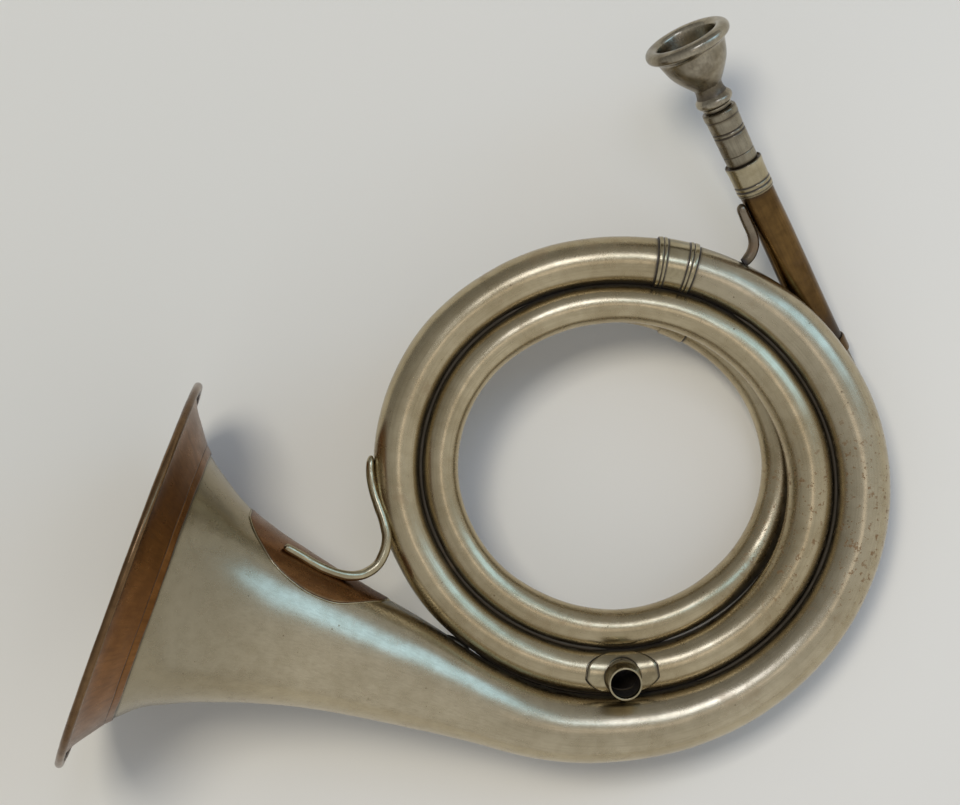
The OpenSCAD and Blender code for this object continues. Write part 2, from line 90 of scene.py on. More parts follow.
def hermite(table, x):
    """Smooth curve through the (x, value) rows of a table."""
    table = np.asarray(table, float)
    x = np.asarray(x, float)
    at, value = table[:, 0], table[:, 1]
    slope = np.empty(len(table))
    slope[0] = (value[1] - value[0]) / (at[1] - at[0])
    slope[-1] = (value[-1] - value[-2]) / (at[-1] - at[-2])
    slope[1:-1] = (value[2:] - value[:-2]) / (at[2:] - at[:-2])
    i = np.clip(np.searchsorted(at[1:-1], x, side="right"), 0, len(table) - 2)
    h = at[i + 1] - at[i]
    s = (x - at[i]) / h
    return (value[i] * (1 + 2 * s) * (1 - s) ** 2 + slope[i] * h * s * (1 - s) ** 2
            + value[i + 1] * s * s * (3 - 2 * s) + slope[i + 1] * h * s * s * (s - 1))


def unrolled(length, radius, angle):
    """Points (length, radius cos, radius sin): the tube laid out straight."""
    parts = np.broadcast_arrays(length, radius * np.cos(angle), radius * np.sin(angle))
    return np.stack(parts, -1)


def axes_at(origin, turn_z, turn_y):
    """Origin and a matrix whose rows are the axis and the two cross directions of a round part."""
    m = np.array(Matrix.Rotation(turn_z, 3, "Z") @ Matrix.Rotation(turn_y, 3, "Y"))
    return np.asarray(origin, float), m[:, [2, 0, 1]].T


def on_axes(axes, height, radius, angle):
    return axes[0] + unrolled(height, radius, angle) @ axes[1]


# ---------------------------------------------------------------- the coil
# The coil tables have one value every 30 degrees from 240 degrees on.
FIRST_ANGLE, ANGLE_STEP, STEPS_PER_TURN = 240, 30, 12
TUBE_DIAMETERS = [
    21.0, 19.5, 17.4, 16.4, 16.5, 16.0, 14.6, 13.8, 13.6, 13.5, 13.5, 13.2, 13.1, 13.3, 13.7,
    13.8, 13.6, 12.8, 11.8, 11.2, 11.4, 11.1, 11.0, 11.1, 11.6, 11.3, 11.0, 10.9, 10.9, 10.9,
    10.9, 10.8, 10.8, 10.8, 10.7, 10.6, 10.5, 10.4, 10.4, 10.3, 10.3, 10.3, 10.3]
FIRST_TURN_RADII = [79.0, 75.1, 73.0, 71.3, 68.7, 64.7, 61.8, 61.1, 63.3, 66.6, 67.4, 64.9, 61.3]
REAR_RADII = [44.6, 45.5, 46.6, 46.4, 46.4, 48.4, 51.5, 54.8, 57.0, 57.5, 57.8, 59.6, 62.7,
              66.3, 69.2]
REAR_DEPTHS = [2.0, 8.0, 10.6, 11.7, 12.1, 12.3, 12.3, 12.3, 12.4, 12.5, 12.8, 13.2, 13.6,
               14.3, 15.3]
FRONT_KNOTS = 26
TURN_GAP = 0.15

# The second turn nests inside the first with a narrow gap.
COIL_RADII = list(FIRST_TURN_RADII)
for knot in range(len(FIRST_TURN_RADII), FRONT_KNOTS):
    outside = knot - STEPS_PER_TURN
    COIL_RADII.append(COIL_RADII[outside]
                      - (TUBE_DIAMETERS[outside] + TUBE_DIAMETERS[knot]) / 2 - TURN_GAP)
COIL_RADII += REAR_RADII
COIL_HEIGHTS = [0.0] * FRONT_KNOTS + [-depth for depth in REAR_DEPTHS]


def along_coil(knots, angle):
    knots = np.asarray(knots, float)
    position = (np.asarray(angle, float) - FIRST_ANGLE) / ANGLE_STEP
    last = len(knots) - 1
    i = np.clip(np.floor(position).astype(int), 0, last - 1)
    return catmull_rom(knots[np.maximum(0, i - 1)], knots[i], knots[i + 1],
                       knots[np.minimum(last, i + 2)], position - i)


def tube_radius(angle):
    return along_coil(TUBE_DIAMETERS, angle) / 2


def coil_at(angle):
    angle = np.asarray(angle, float)
    radius = along_coil(COIL_RADII, angle)
    q = np.radians(angle)
    return np.stack([radius * np.cos(q), radius * np.sin(q),
                     along_coil(COIL_HEIGHTS, angle)], -1)


def coil_dir(angle):
    angle = np.asarray(angle, float)
    return unit(coil_at(angle + 0.5) - coil_at(angle - 0.5))


# Angles where the bell sheet ends, where the rear tube starts, and of the vent.
THROAT_ANGLE, BOW_END, REAR_START, VENT_ANGLE = 270.0, 437.4, 1150.0, 627.8
REAR_END = 1434.0
VENT_CENTRE = coil_at(VENT_ANGLE)
ON_VENT = axes_at(VENT_CENTRE, math.radians(VENT_ANGLE), math.radians(8.0))

# ---------------------------------------------------------------- the mouthpipe line
MOUTHPIECE_CENTRE = np.array([13.7, 124.2, 18.0])
PIPE_AZIMUTH, PIPE_FALL = math.radians(-61.55), math.radians(17.2)
PIPE_DIR = np.array([math.cos(PIPE_FALL) * math.cos(PIPE_AZIMUTH),
                     math.cos(PIPE_FALL) * math.sin(PIPE_AZIMUTH), -math.sin(PIPE_FALL)])
PIPE_JOINT = 106.0
PIPE_RADIUS = 5.15
ON_PIPE = axes_at(MOUTHPIECE_CENTRE, PIPE_AZIMUTH, math.pi / 2 + PIPE_FALL)


def pipe_at(distance):
    return MOUTHPIECE_CENTRE + np.asarray(distance, float)[..., None] * PIPE_DIR


# ---------------------------------------------------------------- the bell line
BELL_FOOT = np.array([-144.6, -29.18, 0.0])
BELL_AZIMUTH, BELL_RISE = math.radians(-20.15), math.radians(0.65)
BELL_AHEAD = np.array([math.cos(BELL_AZIMUTH), math.sin(BELL_AZIMUTH), 0.0])
BELL_SIDE = np.array([-math.sin(BELL_AZIMUTH), math.cos(BELL_AZIMUTH), 0.0])
THROAT = coil_at(THROAT_ANGLE) - BELL_FOOT
THROAT_AHEAD = float(THROAT @ BELL_AHEAD)
THROAT_SIDE = float(THROAT @ BELL_SIDE)
THROAT_SLOPE = (float(coil_dir(THROAT_ANGLE) @ BELL_SIDE)
                / float(coil_dir(THROAT_ANGLE) @ BELL_AHEAD))
# A parabola leads from the straight bell line into the coil.
BEND_START = THROAT_AHEAD - 2 * THROAT_SIDE / THROAT_SLOPE
BEND_LENGTH = THROAT_AHEAD - BEND_START
BEND_CURVE = THROAT_SLOPE / (2 * BEND_LENGTH)
RISE_CURVE = math.tan(BELL_RISE) / (2 * BEND_LENGTH)
BELL_LENGTH = THROAT_AHEAD / math.cos(BELL_RISE)
# (distance ahead of the mouth, sideways shift of the bell's centre line)
BELL_SWAY = [
    [0, 0], [8, 0], [14, 0], [22, -0.08], [30, 0.02], [45, 0.36], [60, 0.61], [72, 0.48],
    [85, 0.09], [95, -0.44], [105, -1.0], [112, -1.2], [118, -1.27], [126, -0.93],
    [135, -0.46], [144, -0.14], [THROAT_AHEAD, 0], [THROAT_AHEAD + 20, 0]]
# (distance from the mouth, outer radius)
FLARE = [
    [0, 55.9], [0.75, 53.6], [1.7, 51.5], [2.85, 49.6], [4.3, 47.6], [5.75, 45.65], [8.1, 42.5],
    [10.7, 39.85], [15.4, 36.0], [19.8, 33.15], [28.5, 28.9], [37, 25.8], [43.7, 23.85],
    [54.1, 21.3], [62.6, 19.6], [71.2, 18.1], [79.7, 16.65], [92.2, 14.45], [105.1, 12.25],
    [116, 11.0], [130, 10.35], [BELL_LENGTH, TUBE_DIAMETERS[1] / 2]]


def flare_radius(u):
    return hermite(FLARE, u)


def bell_at(u):
    ahead = np.asarray(u, float) * math.cos(BELL_RISE)
    in_bend = ahead > BEND_START
    side = hermite(BELL_SWAY, ahead)
    side = side + np.where(in_bend, BEND_CURVE * (ahead - BEND_START) ** 2, 0)
    z = np.where(in_bend, RISE_CURVE * (THROAT_AHEAD - ahead) ** 2,
                 math.tan(BELL_RISE) * (BEND_START - ahead + BEND_LENGTH / 2))
    return BELL_FOOT + ahead[..., None] * BELL_AHEAD + side[..., None] * BELL_SIDE \
        + z[..., None] * UP


def bell_dir(u):
    u = np.asarray(u, float)
    return unit(bell_at(u + 0.5) - bell_at(u - 0.5))


def flare_normal(u):
    """Outward normal of the flare: its part along the axis and its radial part."""
    u = np.asarray(u, float)
    step = 0.02
    low = np.maximum(0, u - step)
    slope = (flare_radius(u + step) - flare_radius(low)) / (u + step - low)
    length = np.sqrt(1 + slope * slope)
    return -slope / length, 1 / length


ON_BELL = axes_at(bell_at(0.0), BELL_AZIMUTH, math.pi / 2 + BELL_RISE)


# ---------------------------------------------------------------- hand-made unevenness
class Waves:
    """Smooth, seeded unevenness with a given wavelength."""

    def __init__(self, seed, length, count=28):
        random = np.random.RandomState(seed)
        heading = unit(random.normal(size=(count, 3)))
        lengths = length * random.uniform(0.7, 1.7, count)
        self.wave = heading * (2 * math.pi / lengths)[:, None]
        self.phase = random.uniform(0, 2 * math.pi, count)
        self.gain = math.sqrt(2 / count)

    def __call__(self, points):
        return np.sin(points @ self.wave.T + self.phase).sum(-1) * self.gain


WAVES_30, WAVES_16, WAVES_8, WAVES_3 = (
    Waves(seed, length) for seed, length in ((11, 30.0), (12, 16.0), (13, 8.0), (14, 3.0)))


def uneven(points, big, small):
    return big * WAVES_30(points) + big * 0.45 * WAVES_16(points) + small * WAVES_8(points)


# dents and nicks: (place, radius, depth)
DENTS = [
    ((-107.0, -50.0, 24.4), 1.9, 0.40), ((-112.0, -38.0, 28.0), 9.0, 0.16),
    ((-60.0, -58.0, 12.0), 8.0, 0.14), ((33.5, 57.0, 6.0), 1.6, 0.22),
    ((36.6, 56.0, 6.0), 1.3, 0.18), ((-12.0, 44.5, 6.5), 2.2, 0.14),
    ((64.0, -20.0, 8.0), 6.0, 0.12), ((52.0, -52.0, 8.0), 7.0, 0.12),
    ((-66.0, 10.0, 7.0), 6.0, 0.10), ((20.0, 66.0, 6.5), 4.0, 0.08)]


def hand_worked(points, big, small):
    """Height of the uneven, dented surface over the ideal one."""
    dent = np.zeros(points.shape[:-1])
    for centre, radius, depth in DENTS:
        q = np.linalg.norm(points - np.array(centre), axis=-1) / radius
        dent += depth * np.exp(-1.6 * q * q)
    return uneven(points, big, small) - dent


# ---------------------------------------------------------------- path of all tubes
# The free gap to the other turns steers the tarnish and painted shade between them.
PATH_U = np.arange(0, BELL_LENGTH, 2.0)
PATH_ANGLES = np.arange(THROAT_ANGLE, REAR_END + 0.1, 2.0)
TAIL_KNOTS = [coil_at(1416.0), coil_at(REAR_END), np.array([69.4, 8.0, -16.2]),
              np.array([67.6, 23.0, -16.0]), pipe_at(PIPE_JOINT), pipe_at(PIPE_JOINT - 14.0)]
TAIL = np.array([catmull_rom(*TAIL_KNOTS[k - 1:k + 3], t) for k in (1, 2, 3)
                 for t in np.linspace(0, 1, 12, endpoint=(k == 3)) if k > 1 or t > 0])
PATH_PIPE = np.arange(PIPE_JOINT - 2, 41, -2.0)
PATH = np.vstack([bell_at(PATH_U), coil_at(PATH_ANGLES), TAIL, pipe_at(PATH_PIPE)])
PATH_RADII = np.concatenate([flare_radius(PATH_U), tube_radius(PATH_ANGLES),
                             np.full(len(TAIL) + len(PATH_PIPE), PIPE_RADIUS)])
PATH_LENGTHS = np.concatenate([[0], np.cumsum(np.linalg.norm(np.diff(PATH, axis=0), axis=1))])
TAIL_START = len(PATH_U) + len(PATH_ANGLES)


def length_at(angle):
    return np.interp(angle, PATH_ANGLES, PATH_LENGTHS[len(PATH_U):TAIL_START])


def gap_to_others(grid, lengths, own_reach=70.0, chunk=4000):
    """Free distance from rings of points, at given path lengths, to the other turns."""
    points = grid.reshape(-1, 3)
    own = np.repeat(lengths, grid.shape[1])
    gaps = []
    for low in range(0, len(points), chunk):
        p = points[low:low + chunk]
        squared = (p ** 2).sum(1)[:, None] + (PATH ** 2).sum(1)[None] - 2 * p @ PATH.T
        gap = np.sqrt(np.maximum(squared, 0)) - PATH_RADII[None]
        gap[np.abs(PATH_LENGTHS[None] - own[low:low + chunk, None]) < own_reach] = 99
        gaps.append(gap.min(1))
    return np.concatenate(gaps).reshape(grid.shape[:-1])


# tarnish and painted shade: darker the closer another turn comes
def gap_tarnish_and_shade(gap, width):
    return peak(np.maximum(gap, 0), 0, width)


# ---------------------------------------------------------------- mesh building
def grid_faces(rows, columns, base=0, wrap_rows=False, wrap_columns=True):
    i = np.arange(rows if wrap_rows else rows - 1)[:, None]
    j = np.arange(columns if wrap_columns else columns - 1)[None, :]
    i1, j1 = (i + 1) % rows, (j + 1) % columns
    corners = [i * columns + j, i * columns + j1, i1 * columns + j1, i1 * columns + j]
    return np.stack(corners, -1).reshape(-1, 4) + base


def shell_faces(rows, columns, wrap=True, hole=None):
    """Faces of an outer and an inner grid joined at their edges, with a hole cut on request."""
    count = rows * columns
    outer = grid_faces(rows, columns, wrap_columns=wrap)
    inner = grid_faces(rows, columns, count, wrap_columns=wrap)[:, ::-1]

    def wall(a, b):
        return np.stack([a, b, count + b, count + a], -1)

    j = np.arange(columns if wrap else columns - 1)
    j1 = (j + 1) % columns
    last = (rows - 1) * columns
    walls = [wall(j1, j), wall(last + j, last + j1)]
    if not wrap:
        row = np.arange(rows - 1) * columns
        walls += [wall(row, row + columns), wall(row + 2 * columns - 1, row + columns - 1)]
    if hole is not None:
        hole = hole.reshape(-1)
        edges = {(f[k], f[(k + 1) % 4]): 1 for f in outer[hole].tolist() for k in range(4)}
        rim = np.array([[a, b] for a, b in edges if (b, a) not in edges])
        walls.append(wall(rim[:, 0], rim[:, 1]))
        outer, inner = outer[~hole], inner[~hole]
    return np.vstack([outer, inner] + walls)


def capped(rings, start_tip, end_tip):
    """Points, quads and cap triangles of a tube closed by a tip at each end."""
    rows, columns = rings.shape[:2]
    count = rows * columns
    j = np.arange(columns)
    j1 = (j + 1) % columns
    last = count - columns
    caps = np.vstack([np.stack([j1, j, np.full(columns, count)], -1),
                      np.stack([last + j, last + j1, np.full(columns, count + 1)], -1)])
    points = np.vstack([rings.reshape(-1, 3), start_tip, end_tip])
    return points, grid_faces(rows, columns), caps


def ring_axes(tangents):
    side = unit(np.cross(UP, tangents))
    return side, np.cross(tangents, side)


def ellipse_rings(tangents, across, up, n):
    """Offsets of elliptical rings from their centres."""
    side, top = ring_axes(tangents)
    q = around(n)
    return (across[:, None] * np.cos(q))[..., None] * side[:, None] \
        + (up[:, None] * np.sin(q))[..., None] * top[:, None]


def sweep(centres, tangents, radius, n):
    """Round rings along a line, and their outward normals."""
    ones = np.ones(len(tangents))
    normals = ellipse_rings(tangents, ones, ones, n)
    return centres[:, None] + radius[:, None, None] * normals, normals


def volume(points, faces):
    a, b, c, d = (points[faces[:, k]] for k in range(4))
    return (np.einsum("ij,ij->i", a, np.cross(b, c)).sum()
            + np.einsum("ij,ij->i", a, np.cross(c, d)).sum()) / 6


def drop_loose_points(mesh):
    bm = bmesh.new()
    bm.from_mesh(mesh)
    loose = [v for v in bm.verts if not v.link_faces]
    bmesh.ops.delete(bm, geom=loose, context="VERTS")
    bm.to_mesh(mesh)
    bm.free()


def add_piece(name, points, faces, material, crease, nodes=(), body="horn", flat=None,
              triangles=None, sharp=38):
    """One piece from coil-frame points; it stands for the given CAD nodes.

    crease (0 to 1) says how much tarnish and painted shade gather, flat holds the unrolled
    coordinates.
    """
    points = np.asarray(points, float).reshape(-1, 3)
    centred = points - points.mean(0)
    polygons = faces.tolist()
    total = volume(centred, faces)
    if triangles is not None:
        polygons += triangles.tolist()
        total += volume(centred, triangles[:, [0, 1, 2, 2]])
    if total < 0:
        polygons = [p[::-1] for p in polygons]
    mesh = bpy.data.meshes.new(name)
    mesh.from_pydata(to_table(points).tolist(), [], polygons)
    crease = np.zeros(len(points)) + np.ravel(crease)
    values = mesh.attributes.new("crease", "FLOAT", "POINT")
    values.data.foreach_set("value", np.clip(crease, 0, 1))
    flat = points if flat is None else flat
    vectors = mesh.attributes.new("flat", "FLOAT_VECTOR", "POINT")
    vectors.data.foreach_set("vector", np.ravel(flat))
    mesh.polygons.foreach_set("use_smooth", np.ones(len(mesh.polygons), bool))
    mesh.validate()
    mesh.update()
    if len({i for p in polygons for i in p}) < len(points):
        drop_loose_points(mesh)
    mesh.set_sharp_from_angle(angle=math.radians(sharp))
    ob = bpy.data.objects.new(name, mesh)
    bpy.context.scene.collection.objects.link(ob)
    mesh.materials.append(material)
    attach(ob, body)
    if nodes:
        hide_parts(*nodes)


def add_shell(name, outer, inner, material, nodes, crease, inner_crease, flat=None,
              wrap=True, hole=None):
    """A sheet piece from its outer and inner grids of points; inner_crease darkens the inner face
    with tarnish and painted shade.
    """
    rows, columns = outer.shape[:2]
    outer_crease = np.broadcast_to(crease, (rows, columns)).ravel()
    add_piece(name, np.stack([outer, inner]), shell_faces(rows, columns, wrap, hole), material,
              np.concatenate([outer_crease, np.full(rows * columns, inner_crease)]),
              nodes, flat=None if flat is None else np.stack([flat, flat]))


def rounded(outline, reach, count):
    """Closed outline with every real corner replaced by a short curve."""
    corners = [np.array(p, float) for p in outline]
    out = []
    for i, corner in enumerate(corners):
        before, after = corners[i - 1], corners[(i + 1) % len(corners)]
        to_before = np.linalg.norm(corner - before)
        to_after = np.linalg.norm(after - corner)
        cut = min(reach, 0.42 * to_before, 0.42 * to_after)
        start = corner + (before - corner) / to_before * cut
        end = corner + (after - corner) / to_after * cut
        cosine = float((corner - before) @ (after - corner)) / (to_before * to_after)
        if math.degrees(math.acos(max(-1, min(1, cosine)))) < 2:
            out.append(corner)
            continue
        for t in np.linspace(0, 1, count):
            out.append((1 - t) ** 2 * start + 2 * t * (1 - t) * corner + t * t * end)
    return out


def subdivided(outline, longest):
    out = []
    for i, start in enumerate(outline):
        end = outline[(i + 1) % len(outline)]
        count = max(1, int(math.ceil(np.linalg.norm(end - start) / longest)))
        out += [start + (end - start) * j / count for j in range(count)]
    return np.array(out)


def lathe(name, axes, profile, material, node, crease, body="horn", n=128, rounding=0.25,
          corner_points=4, longest=1.4, rough=0.02, ripple=None):
    """Turned part from a closed profile of (radius, height) points."""
    outline = subdivided(rounded(profile, rounding, corner_points), longest)
    radius, height = outline[:, :1], outline[:, 1:]
    q = around(n)
    real = radius + uneven(on_axes(axes, height, radius, q), rough, rough * 0.4)
    if ripple:
        real = real + ripple(radius, height, q[None])
    flat = unrolled(height, real, q)
    shade = np.broadcast_to(crease(radius, height), real.shape)
    add_piece(name, axes[0] + flat @ axes[1], grid_faces(len(outline), n, wrap_rows=True),
              material, shade, [node], body, flat)


def rod(name, stations, material, node, start_tarnish_and_shade, end_tarnish_and_shade, substeps=8, n=32):
    """Bent rod through stations (x, y, z, half width, half height).

    Each end's tarnish and painted shade is (strength, reach) at that end.
    """
    stations = np.array(stations, float)
    last = len(stations) - 1
    line = [catmull_rom(stations[max(0, i - 1)], stations[i], stations[i + 1],
                        stations[min(last, i + 2)], k / substeps)
            for i in range(last) for k in range(substeps)]
    line = np.array(line + [stations[last]])
    centres, across, up = line[:, :3], line[:, 3], line[:, 4]
    index = np.arange(len(line))
    tangents = unit(centres[np.minimum(index + 1, index[-1])] - centres[np.maximum(index - 1, 0)])
    offsets = ellipse_rings(tangents, across, up, n)
    rings = centres[:, None] + offsets
    rings = rings + unit(offsets) * uneven(rings * 2.2, 0.03, 0.018)[..., None]
    points, faces, caps = capped(rings, centres[0] - tangents[0] * 0.25 * up[0],
                                 centres[-1] + tangents[-1] * 0.25 * up[-1])
    s = np.concatenate([[0], np.cumsum(np.linalg.norm(np.diff(centres, axis=0), axis=1))])
    flat = unrolled(s[:, None], np.linalg.norm(offsets, axis=-1), around(n)).reshape(-1, 3)
    flat = np.vstack([flat, [[0, 0, 0], [s[-1], 0, 0]]])
    shade = start_tarnish_and_shade[0] * peak(s, 0, start_tarnish_and_shade[1]) \
        + end_tarnish_and_shade[0] * peak(s, s[-1], end_tarnish_and_shade[1])
    crease = np.concatenate([np.repeat(shade, n), shade[[0, -1]]])
    add_piece(name, points, faces, material, crease, [node], flat=flat,
              triangles=caps)


# ---------------------------------------------------------------- shader node helpers
class Tree:
    """A material's node tree; sockets and plain values can be fed in alike."""

    def __init__(self, name):
        self.material = bpy.data.materials.new(name)
        self.material.use_nodes = True
        self.tree = self.material.node_tree
        self.tree.nodes.clear()

    def feed(self, socket, value):
        if hasattr(value, "is_output"):
            self.tree.links.new(value, socket)
        else:
            socket.default_value = value

    def node(self, kind, *values, props=None, **named):
        """Values go to the first inputs in order, named ones by name (_ for a space)."""
        n = self.tree.nodes.new(kind)
        for key, value in (props or {}).items():
            setattr(n, key, value)
        for i, value in enumerate(values):
            self.feed(n.inputs[i], value)
        for key, value in named.items():
            self.feed(n.inputs[key.replace("_", " ")], value)
        return n

    def math(self, operation, a, b=0.0, clamp=False):
        props = {"operation": operation, "use_clamp": clamp}
        return self.node("ShaderNodeMath", a, b, props=props).outputs[0]

    def add(self, a, b, clamp=False):
        return self.math("ADD", a, b, clamp)

    def sub(self, a, b):
        return self.math("SUBTRACT", a, b)

    def mul(self, a, b, clamp=False):
        return self.math("MULTIPLY", a, b, clamp)

    def vector(self, operation, a, b, output="Vector"):
        props = {"operation": operation}
        return self.node("ShaderNodeVectorMath", a, b, props=props).outputs[output]

    def scaled(self, vector, x, y, z):
        return self.vector("MULTIPLY", vector, (x, y, z))

    def attribute(self, name, output):
        return self.node("ShaderNodeAttribute", props={"attribute_name": name}).outputs[output]

    def noise(self, vector, scale, detail, rough):
        return self.node("ShaderNodeTexNoise", Vector=vector, Scale=scale, Detail=detail,
                         Roughness=rough).outputs[0]

    def ramp(self, value, low, high, start=0.0, end=1.0):
        """Smooth step from start at low to end at high."""
        return self.node("ShaderNodeMapRange", props={"interpolation_type": "SMOOTHSTEP"},
                         Value=value, From_Min=low, From_Max=high, To_Min=start,
                         To_Max=end).outputs[0]

    def mix(self, factor, a, b):
        n = self.tree.nodes.new("ShaderNodeMix")
        n.data_type = "RGBA"
        for i, value in ((0, factor), (6, a), (7, b)):
            self.feed(n.inputs[i], (*value, 1) if isinstance(value, tuple) else value)
        return n.outputs[2]

    def spots(self, vector, scale, size):
        """Round spots of random size in random cells: 1 inside a spot."""
        cells = self.node("ShaderNodeTexVoronoi", props={"feature": "F1"}, Vector=vector,
                          Scale=scale, Randomness=1.0)
        random = self.node("ShaderNodeSeparateColor", cells.outputs["Color"]).outputs[0]
        radius = self.mul(self.math("POWER", random, 2.5), size)
        return self.ramp(self.sub(radius, cells.outputs["Distance"]), 0.0, 0.05)

    def scratches(self, vector, where):
        """Thin wandering lines, kept where the given noise is high."""
        turned = self.node("ShaderNodeVectorRotate", props={"rotation_type": "EULER_XYZ"},
                           Vector=vector, Rotation=(1.2, 0.84, 1.56)).outputs[0]
        lines = self.noise(self.scaled(turned, 4.5, 0.08, 4.5), scale=1.0, detail=1.0, rough=0.5)
        thin = self.ramp(self.math("ABSOLUTE", self.sub(lines, 0.5)), 0.0, 0.014, 1.0, 0.0)
        return self.mul(thin, self.ramp(where, 0.50, 0.60))

    def finish(self, colour, rough, metallic, bumps):
        """Close the tree; bumps are (pattern, height in mm)."""
        shader = self.node("ShaderNodeBsdfPrincipled", Base_Color=colour, Roughness=rough,
                           Metallic=metallic)
        total = None
        for pattern, height in bumps:
            relief = self.mul(pattern, height)
            total = relief if total is None else self.add(total, relief)
        relief = self.node("ShaderNodeBump", Height=total, Distance=MM, Strength=1.0)
        self.feed(shader.inputs["Normal"], relief.outputs[0])
        self.node("ShaderNodeOutputMaterial", shader.outputs[0])
        return self.material


def shaded(colour, gain):
    return tuple(min(1, c * gain) for c in colour)


def metal(name, light, deep, tarnish_and_shade=(0.030, 0.026, 0.028), stain=(0.20, 0.11, 0.045),
          brown=(0.120, 0.090, 0.048), streak_tint=None, rough=0.34, spread=0.10, stains=0.35,
          pits=0.4, streaks=0.25, grain=1.0, tool=0.0, crease_gain=1.0, veil=0.72,
          zone=None, mouth=None):
    """Worn sheet metal.

    Colours: light and deep alternate in patches, streak_tint follows the draw lines, stain
    makes blotches and pits, brown veils the surroundings of creases, tarnish fills them;
    both are tarnish and painted shade.
    rough, spread: mean roughness and its variation. stains, pits, streaks, veil: strengths.
    grain, tool: relief of the skin and of tool rings. crease_gain: reach of the tarnish and
    painted shade.
    zone: (centre, radius) in metres of a speckled area.
    mouth: (start, end, strength, colour) of painted shade, a darker tint fading out along the
    tube, in mm.
    """
    t = Tree(name)
    place = t.node("ShaderNodeTexCoord").outputs["Object"]
    mm = t.scaled(place, 1000, 1000, 1000)
    flat = t.attribute("flat", "Vector")
    crease = t.attribute("crease", "Fac")
    big = t.noise(mm, scale=0.040, detail=2.0, rough=0.5)
    mid = t.noise(mm, scale=0.24, detail=3.0, rough=0.6)
    fine = t.noise(mm, scale=1.7, detail=2.0, rough=0.65)
    draw = t.noise(t.scaled(flat, 0.035, 1.9, 1.9), scale=1.0, detail=3.0, rough=0.6)
    fine_draw = t.noise(t.scaled(flat, 0.12, 9.0, 9.0), scale=1.0, detail=1.0, rough=0.5)

    # patches of two tones, and draw lines
    patches = t.add(t.mul(t.ramp(big, 0.35, 0.65), 0.55), t.mul(t.ramp(mid, 0.3, 0.7), 0.45), True)
    colour = t.mix(patches, light, deep)
    colour = t.mix(t.mul(t.ramp(draw, 0.42, 0.72), streaks), colour,
                   streak_tint or shaded(deep, 0.62))

    # stains and pits
    blotches = t.noise(mm, scale=0.10, detail=4.0, rough=0.68)
    stained = t.mul(t.ramp(blotches, 0.56, 0.74), stains)
    if zone:
        distance = t.vector("DISTANCE", place, zone[0], "Value")
        inside = t.ramp(distance, zone[1] * 0.35, zone[1], 1.0, 0.0)
        specks = t.noise(mm, scale=0.55, detail=4.0, rough=0.72)
        stained = t.add(stained, t.mul(inside, t.ramp(specks, 0.565, 0.63, 0, 0.85)), True)
    colour = t.mix(stained, colour, stain)
    spots = t.spots(mm, scale=0.55, size=0.20)
    pitted = t.mul(t.mul(spots, t.ramp(mid, 0.50, 0.60)), pits, True)
    colour = t.mix(pitted, colour, shaded(stain, 0.55))
    # painted shade: a darker tint near the start of the tube, fading out along it
    if mouth:
        start, end, strength, tint = mouth
        length = t.node("ShaderNodeSeparateXYZ", flat).outputs[0]
        colour = t.mix(t.ramp(length, start, end, strength, 0.0), colour, tint)

    # tarnish and painted shade creeping out of the creases
    wander = t.add(t.mul(crease, crease_gain), t.mul(t.sub(mid, 0.5), 0.5))
    edge = t.mul(t.ramp(wander, 0.22, 0.85), 0.96)
    colour = t.mix(t.mul(t.ramp(crease, 0.004, 0.50), veil), colour, brown)
    colour = t.mix(edge, colour, tarnish_and_shade)

    # dirt is rougher than bare metal
    roughness = t.add(rough, t.mul(t.sub(mid, 0.5), spread * 1.6))
    roughness = t.add(roughness, t.mul(t.sub(fine, 0.5), spread * 0.5))
    roughness = t.add(roughness, t.mul(stained, 0.16))
    roughness = t.add(roughness, t.mul(edge, 0.22))
    roughness = t.add(roughness, t.mul(pitted, 0.25), True)

    scratched = t.scratches(mm, where=big)
    colour = t.mix(t.mul(scratched, 0.35), colour, shaded(light, 1.25))
    # stains and the crease mask lower the metallic, which deepens the painted shade in the creases
    dirt_and_shade = t.math("MAXIMUM", edge, t.mul(stained, 0.7))
    metallic = t.sub(1.0, t.mul(dirt_and_shade, 0.55))
    bumps = [(mid, 0.0045 * grain), (fine, 0.0016 * grain), (fine_draw, 0.0016 * grain),
             (scratched, -0.003), (pitted, -0.004)]
    if tool:
        length = t.node("ShaderNodeSeparateXYZ", flat).outputs[0]
        ring_place = t.node("ShaderNodeCombineXYZ", t.mul(length, 3.2)).outputs[0]
        bumps.append((t.noise(ring_place, scale=1.0, detail=3.0, rough=0.75), 0.06 * tool))
    return t.finish(colour, roughness, metallic, bumps)


# ---------------------------------------------------------------- finishes
NICKEL = metal(
    "nickel_worn", light=(0.540, 0.452, 0.290), deep=(0.395, 0.315, 0.185), rough=0.265,
    spread=0.045, stains=0.30, pits=0.6, streaks=0.26,
    zone=(tuple(to_table([56.0, -18.0, 6.0])), 0.040))
# the bell's flare is painted darker near the mouth: painted shade
BELL_NICKEL = metal(
    "nickel_bell", light=(0.530, 0.455, 0.312), deep=(0.400, 0.333, 0.215), rough=0.265,
    spread=0.04, stains=0.24, pits=0.5, streaks=0.22, grain=0.7,
    zone=(tuple(to_table([70.0, -14.0, 6.0])), 0.045),
    mouth=(12.0, 62.0, 0.55, (0.215, 0.190, 0.130)))
BRIGHT_NICKEL = metal(
    "nickel_bright", light=(0.56, 0.485, 0.325), deep=(0.33, 0.270, 0.155), rough=0.21,
    spread=0.08, stains=0.25, pits=0.35, streaks=0.15)
SILVER = metal(
    "silver_worn", light=(0.55, 0.490, 0.370), deep=(0.20, 0.165, 0.112),
    tarnish_and_shade=(0.04, 0.032, 0.026), stain=(0.085, 0.058, 0.034), rough=0.23, spread=0.12,
    stains=0.5, pits=0.7, streaks=0.35, tool=0.5)
